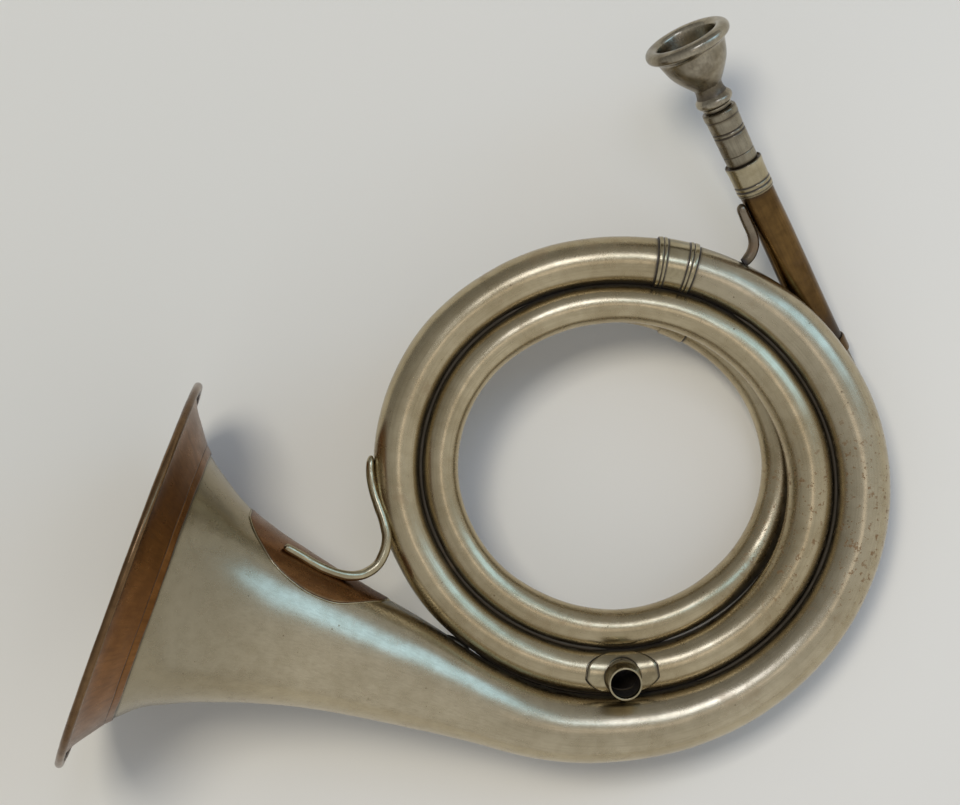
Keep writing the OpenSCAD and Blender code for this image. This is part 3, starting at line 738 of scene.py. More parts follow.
BIT_SILVER = metal(
    "bit_worn", light=(0.37, 0.325, 0.235), deep=(0.145, 0.115, 0.075),
    tarnish_and_shade=(0.035, 0.026, 0.020), stain=(0.075, 0.048, 0.028), rough=0.25, spread=0.12,
    stains=0.65, pits=0.8, streaks=0.4, tool=0.6)
BRASS = metal(
    "brass_streaked", light=(0.225, 0.128, 0.043), deep=(0.090, 0.050, 0.018),
    tarnish_and_shade=(0.026, 0.016, 0.009), stain=(0.10, 0.052, 0.020), brown=(0.07, 0.042, 0.022),
    streak_tint=(0.080, 0.044, 0.018), rough=0.20, spread=0.08, stains=0.4, pits=0.35,
    streaks=0.42, grain=0.5)
COPPER = metal(
    "copper_brown", light=(0.250, 0.110, 0.031), deep=(0.142, 0.059, 0.016),
    tarnish_and_shade=(0.030, 0.016, 0.010), stain=(0.10, 0.047, 0.019), brown=(0.12, 0.064, 0.032),
    rough=0.30, spread=0.12, stains=0.45, streaks=0.35)
RIM_BROWN = metal(
    "rim_brown", light=(0.230, 0.138, 0.066), deep=(0.125, 0.068, 0.031),
    tarnish_and_shade=(0.035, 0.020, 0.012), stain=(0.085, 0.042, 0.020), brown=(0.13, 0.078, 0.042),
    rough=0.24, spread=0.12, stains=0.5, pits=0.5, streaks=0.3)
PATCH_BROWN = metal(
    "patch_redbrown", light=(0.260, 0.122, 0.044), deep=(0.150, 0.066, 0.025),
    tarnish_and_shade=(0.028, 0.014, 0.010), stain=(0.095, 0.044, 0.020), brown=(0.09, 0.050, 0.026),
    rough=0.27, stains=0.45, streaks=0.4)
SOLDER = metal(
    "soft_solder", light=(0.34, 0.315, 0.262), deep=(0.17, 0.155, 0.122),
    tarnish_and_shade=(0.05, 0.045, 0.045), rough=0.44, spread=0.14, stains=0.4, streaks=0.1,
    crease_gain=0.8)
# near black, unlike the grey solder: painted shade for the seams and lines in the creases between
# the turns
DARK_SEAM = metal(
    "dark_seam", light=(0.050, 0.045, 0.045), deep=(0.026, 0.023, 0.025),
    tarnish_and_shade=(0.022, 0.018, 0.022), rough=0.55, spread=0.15, stains=0.3, pits=0.3, streaks=0.1,
    crease_gain=0.5)
DARK_FILLET = metal(
    "dark_fillet", light=(0.10, 0.090, 0.078), deep=(0.045, 0.040, 0.036), rough=0.45,
    spread=0.15, stains=0.3, pits=0.3, streaks=0.1)
STAY_NICKEL = metal(
    "nickel_stay", light=(0.54, 0.465, 0.300), deep=(0.28, 0.225, 0.130), rough=0.23,
    stains=0.45, pits=0.5, veil=0.35)
STAY_DARK = metal(
    "stay_dark", light=(0.300, 0.245, 0.175), deep=(0.135, 0.103, 0.072), rough=0.28,
    stains=0.5, pits=0.5, streaks=0.3)


# ---------------------------------------------------------------- tubes
def steps(start, end, step, finer=()):
    """Values on multiples of step between two ends; finer ranges are (start, end, step)."""
    inside = np.arange(math.floor(start / step) + 1, math.ceil(end / step)) * step
    values = np.concatenate([[start], inside, [end]])
    for low, high, fine in finer:
        outside = values[(values < low) | (values > high)]
        values = np.concatenate([outside, np.arange(low, high + 1e-6, fine)])
    return np.unique(np.round(values, 4))


# tarnish and painted shade: darker near a joint
def joint_tarnish_and_shade(angle, joint, width):
    """Closeness along the coil to a joint at a given angle."""
    radius = np.linalg.norm(coil_at(angle)[..., :2], axis=-1)
    return peak(np.radians(angle - joint) * radius, 0, width)


def flattened_where_touching(height, gap):
    return height * np.clip(gap / 2.0, 0, 1)


def vent_opening(outer, radius=4.75):
    """Faces of a tube that lie inside the vent's bore, on its upper side."""
    beside = np.roll(outer, -1, 1)
    offset = (outer[:-1] + outer[1:] + beside[:-1] + beside[1:]) / 4 - ON_VENT[0]
    axis = ON_VENT[1][0]
    height = offset @ axis
    return (np.linalg.norm(offset - height[..., None] * axis, axis=-1) < radius) & (height > 2)


def tube_piece(name, centres, tangents, radius, lengths, joint, node, n, hole=None, wall=0.6):
    outer, normals = sweep(centres, tangents, radius, n)
    inner, _ = sweep(centres, tangents, radius - wall, n)
    gap = gap_to_others(outer, lengths)
    height = flattened_where_touching(hand_worked(outer, 0.05, 0.014), gap)
    outer = outer + normals * height[..., None]
    # tarnish and painted shade: darker between the turns, at the joints and inside the tube
    add_shell(name, outer, inner, NICKEL, [node],
              crease=np.maximum(gap_tarnish_and_shade(gap, 1.5), joint[:, None]), inner_crease=0.75,
              flat=unrolled(lengths[:, None], radius[:, None], around(n)),
              hole=hole(outer) if hole else None)


def coil_tube():
    """The two front turns and the drop to the rear turn."""
    angle = steps(BOW_END + 0.2, REAR_START - 0.1, 1.5,
                  [(437.6, 444.6, 0.25), (613.0, 643.0, 0.5), (1143.0, 1149.9, 0.4)])
    joint = np.maximum(joint_tarnish_and_shade(angle, 442.7, 0.45), joint_tarnish_and_shade(angle, 1144.9, 0.5))
    tube_piece("coil_tube", coil_at(angle), coil_dir(angle), tube_radius(angle),
               length_at(angle), joint, "main_coil", n=72, hole=vent_opening)


def rear_turn_tube():
    """The rear turn with its bend into the line of the mouthpipe."""
    angle = steps(REAR_START + 0.1, REAR_END, 2.0)
    bend = len(TAIL) - 1
    centres = np.vstack([coil_at(angle), TAIL[1:]])
    tangents = np.vstack([coil_dir(angle[:1]), unit(centres[2:] - centres[:-2]),
                          -PIPE_DIR[None]])
    radius = np.concatenate([tube_radius(angle), np.full(bend, PIPE_RADIUS)])
    lengths = np.concatenate([length_at(angle), PATH_LENGTHS[TAIL_START:TAIL_START + bend]])
    # tarnish and painted shade towards the joint with the mouthpipe
    joint = 0.42 * np.clip((lengths - lengths[-1] + 26.0) / 14.0, 0, 1)
    tube_piece("rear_turn_tube", centres, tangents, radius, lengths, joint, "back_coil", n=56)


# ---------------------------------------------------------------- bell
def bell_sheet(n=160, wall=0.55):
    """Flare, throat and bow in one sheet."""
    u = np.unique(np.round(np.concatenate([np.arange(0, 3, 0.25), np.arange(3, 13, 0.5),
                                           np.arange(13, BELL_LENGTH - 0.8, 1.4)]), 4))
    angle = steps(THROAT_ANGLE, BOW_END, 1.5, [(427.0, BOW_END, 0.25)])
    flare, flare_out = sweep(bell_at(u), bell_dir(u), flare_radius(u), n)
    bow, bow_normals = sweep(coil_at(angle), coil_dir(angle), tube_radius(angle), n)
    axial, radial = flare_normal(u)
    flare_normals = unit(flare_out * radial[:, None, None]
                         + bell_dir(u)[:, None, :] * axial[:, None, None])
    lengths = np.concatenate([u, length_at(angle)])
    outer = np.concatenate([flare, bow])
    normals = np.concatenate([flare_normals, bow_normals])
    gap = gap_to_others(outer, lengths)
    # the mouth stays true under the garland
    fade = np.concatenate([np.clip((u - 10.5) / 8.0, 0, 1), np.ones(len(angle))])
    height = flattened_where_touching(hand_worked(outer, 0.045, 0.010) * fade[:, None], gap)
    outer = outer + normals * height[..., None]

    inner_u = u - wall * axial
    inner_flare, _ = sweep(bell_at(inner_u), bell_dir(inner_u),
                           flare_radius(u) - wall * radial, n)
    inner_bow, _ = sweep(coil_at(angle), coil_dir(angle), tube_radius(angle) - wall, n)
    inner = np.concatenate([inner_flare, inner_bow]) + normals * (height * 0.9)[..., None]

    # tarnish and painted shade along the garland's edge, at the bow's joint and between the turns
    garland_edge = 0.55 * np.exp(-np.maximum(0, u - 10.75) / 0.22) * (u > 9)
    joint = np.concatenate([garland_edge, joint_tarnish_and_shade(angle, 432.0, 0.45)])
    radius = np.concatenate([flare_radius(u), tube_radius(angle)])
    add_shell("bell_sheet", outer, inner, BELL_NICKEL, ["bell"],
              crease=np.maximum(gap_tarnish_and_shade(gap, 1.5), joint[:, None]), inner_crease=0.12,
              flat=unrolled(lengths[:, None], radius[:, None], around(n)))


def on_flare(u, offset, angle):
    axial, radial = flare_normal(u)
    return on_axes(ON_BELL, u + offset * axial, flare_radius(u) + offset * radial, angle)


def bell_garland(width=10.6, scribe=8.5, n=200):
    """Sheet band round the mouth, with a scribed line and a hand-cut edge away from the mouth."""
    q = around(n)
    row = np.concatenate([[0.1, 0.3, 0.55, 0.85, 1.25, 1.75, 2.4, 3.2], np.linspace(4.1, 7.9, 7),
                          [8.15, 8.3, 8.42, scribe, 8.58, 8.7, 8.85, 9.3, 9.8, 10.2, 10.42,
                           10.55, width]])
    wave = 0.16 * np.sin(3 * q + 0.6) + 0.10 * np.sin(7 * q + 2.0) + 0.05 * np.sin(17 * q)
    u = row[:, None] - (row[:, None] / width) ** 4 * (0.30 + wave[None, :])
    top = 0.41 - 0.13 * bump(row, scribe, 0.13) - 0.22 * np.clip((row - 10.3) / 0.3, 0, 1) ** 2 \
        - 0.12 * np.clip((0.4 - row) / 0.3, 0, 1)
    top = top[:, None]
    outer = on_flare(u, top + 0.02 * WAVES_16(on_flare(u, top, q)), q)
    # tarnish and painted shade in the scribed line and along both edges
    crease = 0.75 * bump(row, scribe, 0.10) + 0.5 * peak(row, width, 0.18) \
        + 0.35 * peak(row, 0, 0.6)
    add_shell("bell_garland_band", outer, on_flare(u, 0.06, q), COPPER,
              ["bell_garland"], crease[:, None], inner_crease=0.5,
              flat=unrolled(6 * u, 21.0, q))


def bell_rim(n=300, section_n=20):
    """Rolled rim: a round bead whose thickness varies a little round the mouth."""
    q = around(n)[:, None]
    section = around(section_n)[None]
    bead = 1.22 + 0.035 * np.sin(5 * q + 1) + 0.02 * np.sin(13 * q) + 0.012 * np.sin(31 * q + 2)
    radius = FLARE[0][1] + 0.1 + 1.25 + np.cos(section) * bead
    points = on_axes(ON_BELL, 0.4 + np.sin(section) * bead, radius, q)
    # tarnish and painted shade on the bead's inner side, against the garland
    crease = np.repeat(0.9 * np.clip(-np.cos(section) - 0.25, 0, 1), n, 0)
    flat = np.stack(np.broadcast_arrays(12 * np.cos(q), 12 * np.sin(q), 1.2 * np.cos(section)), -1)
    add_piece("bell_rim_bead", points, grid_faces(n, section_n, wrap_rows=True), RIM_BROWN,
              crease, ["rim_wire"], flat=flat)


# Upper edge of the repair sheet: (distance from the mouth, offset from the bell axis to +y)
PATCH_EDGE = [
    [27.4, 27.9], [29.9, 24.9], [32.5, 22.5], [36.9, 18.9], [39.7, 17.2], [42.6, 15.7],
    [45.0, 14.7], [47.8, 13.8], [51.0, 13.1], [54.1, 12.7], [57.1, 12.7], [60.0, 13.3],
    [62.6, 14.2], [65.3, 15.2], [67.9, 16.3], [70.8, 17.3], [73.0, 18.6]]


def bell_patch(columns=34):
    """Repair sheet on the +y side of the bell; returns the line round its edge."""
    u = np.concatenate([np.linspace(27.4, 29.0, 7), np.linspace(29.6, 70.6, 60),
                        np.linspace(71.0, 72.6, 6)])
    radius = flare_radius(u)
    offset = hermite(PATCH_EDGE, u) + 0.05 * np.sin(u * 0.6) + 0.015 * np.sin(u * 2.1 + 1)
    first = np.arcsin(np.clip((2.4 - bell_at(u)[:, 2]) / radius, -0.6, 0.5))
    last = np.maximum(np.arccos(np.clip(offset / radius, -1, 0.999)), first + 0.02)
    share = 0.5 - 0.5 * np.cos(math.pi * np.linspace(0, 1, columns))
    angle = first[:, None] + (last - first)[:, None] * share[None]

    direction = bell_dir(u)
    side, top = ring_axes(direction)
    axial, radial = flare_normal(u)
    out = side[:, None, :] * np.cos(angle)[..., None] + top[:, None, :] * np.sin(angle)[..., None]
    normals = unit(out * radial[:, None, None] + direction[:, None, :] * axial[:, None, None])
    base = bell_at(u)[:, None, :] + out * radius[:, None, None]

    to_edge = np.minimum.reduce([
        (u - u[0])[:, None] * 0.9 + 0 * angle, (u[-1] - u)[:, None] * 0.9 + 0 * angle,
        (last[:, None] - angle) * radius[:, None],
        (angle - first[:, None]) * radius[:, None] + 0.3])
    lift = hand_worked(base, 0.045, 0.010)
    thickness = 0.16 + 0.32 * np.clip(to_edge / 0.5, 0, 1) ** 0.6 + 0.02 * WAVES_8(base)
    outer = base + normals * (lift + thickness)[..., None]
    inner = base + normals * (lift + 0.05)[..., None]
    # tarnish and painted shade along the sheet's edges
    add_shell("bell_patch_sheet", outer, inner, PATCH_BROWN, ["bell_patch"],
              crease=0.85 * gap_tarnish_and_shade(to_edge, 0.35), inner_crease=0.9,
              flat=unrolled(u[:, None], radius[:, None], angle), wrap=False)
    middle = 0.5 * (inner + outer)
    return np.vstack([middle[:, -1], inner[-1, -2::-3], inner[::-1, 0][1:], middle[0, 1:-1:3]])


# ---------------------------------------------------------------- ferrules on the coil
def sleeve(name, stations, material, node, n, grooves=(), under=0.06):
    """Turned sleeve from (coil angle, height over the tube); grooves are (angle, width)."""
    angles, heights = np.array(stations, float).T
    start = angles[0]
    radii = np.linalg.norm(coil_at(angles)[:, :2], axis=1)
    run = np.radians(angles - start) * radii
    outline = [(run[0], under), *zip(run, heights), (run[-1], under)]
    outline = subdivided(rounded(outline, 0.10, 4), 0.6)
    radius = radii.mean()
    angle = start + np.degrees(outline[:, 0] / radius)
    points, normals = sweep(coil_at(angle), coil_dir(angle),
                            tube_radius(angle) + outline[:, 1], n)
    points = points + normals * uneven(points, 0.012, 0.006)[..., None]
    # tarnish and painted shade in the grooves and where other turns come close
    crease = np.zeros(len(outline))
    for groove, width in grooves:
        crease = np.maximum(crease, 0.95 * bump(np.radians(angle - groove) * radius, 0, width))
    gap = gap_to_others(points, length_at(angle))
    add_piece(name, points, grid_faces(len(outline), n, wrap_rows=True), material,
              np.maximum(crease[:, None], gap_tarnish_and_shade(gap, 1.0)), [node],
              flat=unrolled(outline[:, :1], tube_radius(angle)[:, None], around(n)))


BOW_FERRULE = [
    (432.1, 0.4), (432.3, 0.68), (433.2, 0.72), (433.35, 0.54), (433.6, 0.54), (433.75, 0.72),
    (434.3, 0.68), (434.5, 0.44), (437.4, 0.44), (440.3, 0.44), (440.5, 0.68), (441.05, 0.72),
    (441.2, 0.54), (441.45, 0.54), (441.6, 0.72), (442.4, 0.68), (442.6, 0.4)]
BOW_GROOVES = [(433.48, 0.14), (434.52, 0.16), (440.28, 0.16), (441.32, 0.14), (432.1, 0.10),
               (442.6, 0.10)]
REAR_FERRULE = [(1145, 0.35), (1145.4, 0.5), (1150, 0.5), (1154.6, 0.5), (1155, 0.35)]


def coil_ferrules():
    sleeve("bell_bow_ferrule", BOW_FERRULE, BRIGHT_NICKEL, "bell_ferrule", 96, BOW_GROOVES)
    sleeve("rear_ferrule", REAR_FERRULE, NICKEL, "back_ferrule", 72)


# ---------------------------------------------------------------- vent
VENT_POINTS = 96
VENT_CIRCLE = around(VENT_POINTS)
VENT_BORE = 4.92
SADDLE_RADIUS = float(tube_radius(VENT_ANGLE)) + 0.66
SADDLE_HALF_WIDTH, SADDLE_STRETCH = 6.7, 1.62
# Plate outline, cut straight on its sides: offsets across and along the tube.
SADDLE_ACROSS = np.clip(SADDLE_HALF_WIDTH * np.cos(VENT_CIRCLE), -6.16, 5.6)
SADDLE_ALONG = np.clip(SADDLE_HALF_WIDTH * SADDLE_STRETCH * np.sin(VENT_CIRCLE), -10.3, 10.3)


def saddle_tilt(across):
    return np.arcsin(np.clip(across / SADDLE_RADIUS, -0.995, 0.995))


def on_vent_tube(tilt, along, height):
    """Points on the tube round the vent, tilted sideways from its top."""
    angle = VENT_ANGLE + np.degrees(along / np.linalg.norm(VENT_CENTRE))
    side, top = ring_axes(coil_dir(angle))
    out = -side * np.sin(tilt)[..., None] + top * np.cos(tilt)[..., None]
    return coil_at(angle) + out * (tube_radius(angle) + height)[..., None]


def vent_saddle():
    share = np.concatenate([np.linspace(0, 0.82, 12), [0.88, 0.93, 0.97, 1.0]])[:, None]
    inner_tilt = saddle_tilt(VENT_BORE * np.cos(VENT_CIRCLE))
    inner_along = VENT_BORE * np.sin(VENT_CIRCLE)
    tilt = inner_tilt + (saddle_tilt(SADDLE_ACROSS) - inner_tilt) * share
    along = inner_along + (SADDLE_ALONG - inner_along) * share
    to_edge = (1 - share) * 4.0
    height = 0.16 + 0.50 * np.clip(to_edge / 0.45, 0, 1) ** 0.55
    # tarnish and painted shade along the plate's edge and round the bore
    crease = 0.9 * peak(to_edge, 0, 0.30) + 0.5 * peak(share * 4.0, 0, 0.5)
    add_shell("vent_saddle_plate", on_vent_tube(tilt, along, height),
              on_vent_tube(tilt, along, 0.05), STAY_NICKEL, ["vent_saddle"],
              crease, inner_crease=0.9)


def vent_chimney():
    profile = [[4.3, 4.9], [4.3, 14.6], [4.85, 14.6], [4.85, 9.6], [5.0, 8.4], [5.55, 7.75],
               [5.2, 7.3], [4.85, 7.2], [4.85, 4.9]]
    # tarnish and painted shade deeper down the bore and round the bead
    lathe("vent_chimney", ON_VENT, profile, BRIGHT_NICKEL, "vent_tube",
          crease=lambda r, z: np.where(r < 4.5, np.clip((14.3 - z) / 3.5, 0, 1),
                                       0.8 * peak(z, 7.6, 0.5)),
          n=VENT_POINTS, rounding=0.16, longest=0.9, rough=0.015,
          ripple=lambda r, z, q: 0.03 * np.sin(2 * q + 0.5) * (z > 9))


def solder_bead(name, loop, radius, material, n=10):
    """Closed thin bead along a loop of points."""
    tangents = unit(np.roll(loop, -1, 0) - np.roll(loop, 1, 0))
    points, _ = sweep(loop, tangents, radius, n)
    add_piece(name, points, grid_faces(len(loop), n, wrap_rows=True), material, 0.25,
              sharp=180)


def edge_solder(patch_edge):
    """Solder beads round the repair sheet and round the vent's saddle plate."""
    i = np.arange(len(patch_edge))
    solder_bead("patch_solder_line", patch_edge,
                0.24 + 0.05 * np.sin(i * 0.37) * np.sin(i * 0.11 + 1), STAY_NICKEL)
    loop = on_vent_tube(saddle_tilt(SADDLE_ACROSS * 1.015), SADDLE_ALONG * 1.02, 0.08)
    solder_bead("vent_solder_line", loop, 0.12 + 0.03 * np.sin(VENT_CIRCLE * 5)
                + 0.02 * np.sin(VENT_CIRCLE * 11 + 1), DARK_FILLET)


# ---------------------------------------------------------------- mouthpiece end
# Closed profiles of (radius, distance from the mouthpiece rim along the pipe).
CUP_PROFILE = [
    [2.3, 19], [2.3, 23.5], [2.65, 33], [2.95, 40.6], [3.68, 40.6], [3.88, 23.8], [4.05, 23.6],
    [4.35, 23.3], [4.4, 22.4], [4.75, 22.15], [5.3, 21.7], [5.6, 21.1], [5.65, 20.6], [5.5, 20.0],
    [5.0, 19.4], [4.5, 18.8], [4.3, 18.0], [4.2, 17.0], [4.3, 16.2], [5.0, 15.3], [6.1, 13.9],
    [7.4, 12.2], [8.5, 10.4], [9.4, 8.2], [10.0, 6.0], [10.3, 4.8], [11.0, 4.0], [12.2, 3.4],
    [12.75, 2.8], [12.9, 2.0], [12.75, 1.2], [12.2, 0.5], [11.3, 0.1], [10.4, 0], [9.5, 0.3],
    [8.9, 1.0], [8.75, 2.0], [8.4, 4.5], [7.6, 8.2], [6.1, 12.0], [4.2, 15.6], [2.7, 18.0]]
BIT_PROFILE = [
    [3.93, 23.9], [3.707, 42.5], [3.2, 43.0], [3.2, 67.5], [3.95, 67.5], [4.2, 41.3],
    [4.68, 40.9], [4.74, 38.2], [4.68, 38.05], [4.68, 37.85], [4.75, 37.7], [4.86, 32.0],
    [4.72, 31.8], [4.72, 31.45], [4.88, 31.25], [4.88, 30.8], [4.74, 30.6], [4.74, 30.25],
    [4.92, 30.05], [5.05, 26.4], [5.22, 26.0], [5.22, 24.5], [5.1, 24.1], [4.9, 23.9]]
LINER_PROFILE = [[4.247, 41.6], [3.976, 70], [4.6, 70], [4.6, 41.6]]
COLLAR_PROFILE = [
    [5.19, 41.3], [5.19, 51.0], [5.32, 51.0], [5.44, 50.8], [5.44, 50.3], [5.56, 50.1],
    [5.56, 49.5], [5.42, 49.3], [5.42, 48.9], [5.54, 48.7], [5.54, 48.1], [5.42, 47.9],
    [5.5, 44.0], [5.62, 42.4], [5.68, 42.0], [5.68, 41.5], [5.5, 41.3]]
PIPE_STATIONS = [41.7, 52, 60, 70, 80, 90, 100, PIPE_JOINT - 0.05]
PIPE_PROFILE = [[PIPE_RADIUS, s] for s in PIPE_STATIONS] \
    + [[PIPE_RADIUS - 0.5, s] for s in PIPE_STATIONS[::-1]]
JOINT_PROFILE = [[5.29, 103], [5.29, 107.6], [5.65, 107.6], [5.8, 107.2], [5.8, 103.4],
                 [5.6, 103]]


def turning_marks(r, z, q):
    return 0.022 * np.sin(q * 3 + z) * np.clip(r / 6, 0, 1) + 0.012 * np.sin(q * 7 + 1.3 * z)


def mouthpiece():
    def crease(r, z):
        # tarnish and painted shade: darker deeper in the cup, in the neck and at the shank's step
        bowl = np.where((r < 8.6) & (z > 6) & (z < 19), np.clip((z - 10) / 14, 0, 0.6), 0)
        neck = 0.42 * peak(z, 17.0, 0.8) * (r > 3.9) * (r < 4.9)
        return np.maximum.reduce([bowl, neck, 0.6 * peak(z, 23.2, 0.5)])

    lathe("mouthpiece_cup", ON_PIPE, CUP_PROFILE, SILVER, "mouthpiece",
          crease, body="mouthpiece", n=144, rounding=1.2, corner_points=5, longest=0.7,
          rough=0.022, ripple=turning_marks)


def tuning_bit():
    def crease(r, z):
        # tarnish and painted shade in the grooves and at the steps
        grooves = [0.95 * bump(z, 31.62, 0.3), 0.9 * bump(z, 30.42, 0.25),
                   0.7 * bump(z, 37.95, 0.16)]
        edges = [0.8 * peak(z, 26.3, 0.3), 0.8 * peak(z, 41.0, 0.5), 0.5 * peak(z, 24.0, 0.4)]
        return np.maximum.reduce(grooves + edges)

    lathe("tuning_bit_tube", ON_PIPE, BIT_PROFILE, BIT_SILVER, "tuning_bit",
          crease, body="tuning_bit", n=112, rounding=0.12, longest=0.8, ripple=turning_marks)


def receiver():
    def collar_crease(r, z):
        # tarnish and painted shade in the collar's grooves and at its step
        return np.maximum.reduce([0.95 * bump(z, 49.1, 0.28), 0.9 * bump(z, 47.8, 0.2),
                                  0.85 * bump(z, 50.5, 0.2), 0.7 * peak(z, 41.3, 0.2)])

    lathe("receiver_liner", ON_PIPE, LINER_PROFILE, BRASS, "receiver_sleeve",
          crease=lambda r, z: 0.4, n=72, rounding=0.08)
    lathe("receiver_collar", ON_PIPE, COLLAR_PROFILE, BRIGHT_NICKEL,
          "receiver_ferrule", collar_crease, n=112, rounding=0.10, longest=0.7, rough=0.014)


def mouthpipe():
    def crease(r, z):
        # tarnish and painted shade next to the collar, towards the joint and in the bore
        outside = np.maximum(0.85 * peak(z, 51.2, 0.6), 0.9 * np.clip((z - 88) / 16, 0, 1))
        return outside * (r > 5) + 0.5 * (r < 4.9)

    lathe("mouthpipe_tube", ON_PIPE, PIPE_PROFILE, BRASS, "mouthpipe", crease,
          n=96, rounding=0.05, longest=1.2, rough=0.035)
    lathe("mouthpipe_joint_ferrule", ON_PIPE, JOINT_PROFILE, BRASS,
          "mouthpipe_ferrule", crease=lambda r, z: 0.3, n=72, rounding=0.12, rough=0.015)


# ---------------------------------------------------------------- stays
# Stations: (x, y, z, half width, half height)
MOUTHPIPE_STAY = [
    [32.3, 77.2, 4.2, 0.5, 0.5], [32.45, 76.6, 4.05, 1.15, 1.2], [32.7, 75.6, 3.8, 1.5, 1.5],
    [33.4, 74.0, 3.3, 1.55, 1.55], [34.6, 71.7, 2.6, 1.6, 1.6], [36.0, 68.8, 1.9, 1.6, 1.6],
    [36.6, 66.0, 1.4, 1.6, 1.6], [36.0, 63.3, 1.1, 1.6, 1.6], [34.6, 61.2, 1.0, 1.55, 1.55],
    [33.6, 60.3, 1.0, 1.3, 1.3]]
BELL_STAY = [
    [-99.65, -20.59, 13.9, 0.45, 0.55], [-99.37, -20.83, 13.8, 1, 1.1],
    [-98.55, -21.31, 13.5, 1.25, 1.3], [-95.02, -23.4, 12.6, 1.3, 1.3],
    [-91.62, -25.53, 12.2, 1.35, 1.35], [-88.21, -27.41, 11.5, 1.4, 1.4],
    [-83.64, -29.12, 9.9, 1.45, 1.45], [-80.2, -29.66, 8.6, 1.5, 1.5],
    [-76.74, -29.11, 7.3, 1.5, 1.5], [-73.4, -26.96, 6.6, 1.5, 1.5],
    [-71.25, -23.33, 5.9, 1.5, 1.5], [-70.4, -18.85, 5.3, 1.45, 1.45],
    [-71.4, -14.0, 4.7, 1.4, 1.4], [-72.9, -9.65, 3.7, 1.4, 1.4],
    [-74.25, -5.35, 2.8, 1.35, 1.5], [-74.95, -1, 2.1, 1.3, 1.6],
    [-75.05, 2.17, 1.7, 1.2, 1.5], [-74.85, 3.76, 1.5, 0.9, 1.1],
    [-74.65, 4.39, 1.4, 0.45, 0.55]]


def stays():
    # tarnish and painted shade where the rods meet the tubes
    rod("mouthpipe_stay_rod", MOUTHPIPE_STAY, STAY_DARK, "mouthpipe_stay",
        start_tarnish_and_shade=(0.35, 1.2), end_tarnish_and_shade=(0.8, 2.0))
    rod("bell_stay_rod", BELL_STAY, STAY_NICKEL, "bell_stay",
        start_tarnish_and_shade=(0.25, 0.8), end_tarnish_and_shade=(0.3, 1.5))


# ---------------------------------------------------------------- solder
def between_turns(angle, side):
    """Line between two neighbouring front turns: side 1 is above, -1 below, 0 midway."""
    centre, outer = coil_at(angle), coil_at(angle - 360)
    radius, outer_radius = tube_radius(angle), tube_radius(angle - 360)
    out = unit(outer * np.array([1, 1, 0.0]))
    height = side * 0.44 * np.minimum(radius, outer_radius)
    return centre + (radius + TURN_GAP / 2)[..., None] * out + UP * height[..., None]


def line_part(angle, centres, tangents, across, up, start_reach, end_reach, n=14):
    rings = centres[:, None] + ellipse_rings(tangents, across, up, n)
    flat = unrolled(0.9 * angle[:, None], 1.0, around(n)).reshape(-1, 3)
    return (*capped(rings, centres[0] - start_reach * tangents[0],
                    centres[-1] + end_reach * tangents[-1]),
            np.vstack([flat, np.zeros((2, 3))]))


def seam(start, end, side, across, up, seed):
    """Wavering seam between two turns."""
    angle = np.arange(start, end + 0.1, 1.6)
    tangents = unit(between_turns(angle + 0.5, side) - between_turns(angle - 0.5, side))
    random = np.random.RandomState(seed)
    size = 0.86 + 0.12 * np.sin(angle * 0.31 + random.uniform(0, 6)) \
        * np.sin(angle * 0.083 + random.uniform(0, 6)) \
        + 0.05 * np.sin(angle * 0.9 + random.uniform(0, 6))
    size *= np.clip((angle - start) / 5, 0.25, 1) * np.clip((end - angle) / 5, 0.25, 1)
    return line_part(angle, between_turns(angle, side), tangents, size * across, size * up,
                     start_reach=0.15, end_reach=0.15)


def flank_shade_line(start, end, width):
    """Near-black line on the outward flank of the coil tube, painted shade continuing the crease
    between the turns.
    """
    angle = np.arange(start, end + 0.1, 1.0)
    centres = coil_at(angle)
    out = unit(centres * np.array([1, 1, 0.0]))
    centres = centres + (tube_radius(angle) + 0.12)[:, None] * out
    size = width * np.clip((angle - start + 1) / 9, 0.12, 1) \
        * np.clip((end - angle + 1) / 4, 0.3, 1)
    return line_part(angle, centres, coil_dir(angle), size, size,
                     start_reach=0.05, end_reach=0.1)


def drop(centre, direction, half_length, across, up, n=22, rows=18):
    """Lumpy ellipsoid of solder."""
    centre, direction = np.asarray(centre, float), unit(direction)
    t = np.sin(np.linspace(-1, 1, rows) * math.pi / 2)
    size = np.maximum(0.12, np.sqrt(np.maximum(0, 1 - t * t)))
    line = centre + t[:, None] * half_length * direction
    rings = line[:, None] + ellipse_rings(np.repeat(direction[None], rows, 0), size * across,
                                          size * up, n)
    lumps = 0.95 + 0.05 * WAVES_3(rings + 5)
    rings = centre + (rings - centre) * lumps[..., None]
    tip = 0.06 * half_length * direction
    points, faces, caps = capped(rings, line[0] - tip, line[-1] + tip)
    return points, faces, caps, points


def add_solder(name, parts, material, crease, nodes=()):
    """One object from several (points, quads, triangles, flat) parts."""
    starts = np.cumsum([0] + [len(part[0]) for part in parts[:-1]])
    points, flat = (np.vstack([part[k] for part in parts]) for k in (0, 3))
    quads, caps = (np.vstack([part[k] + start for part, start in zip(parts, starts)])
                   for k in (1, 2))
    add_piece(name, points, quads, material, crease, nodes, flat=flat, triangles=caps)


# (coil angle, depth below z = 0) of the drops between the front and rear turns
REAR_DROPS = [(1186.0, 6.3), (1260.0, 6.4), (1335.0, 6.9), (1404.0, 7.8)]


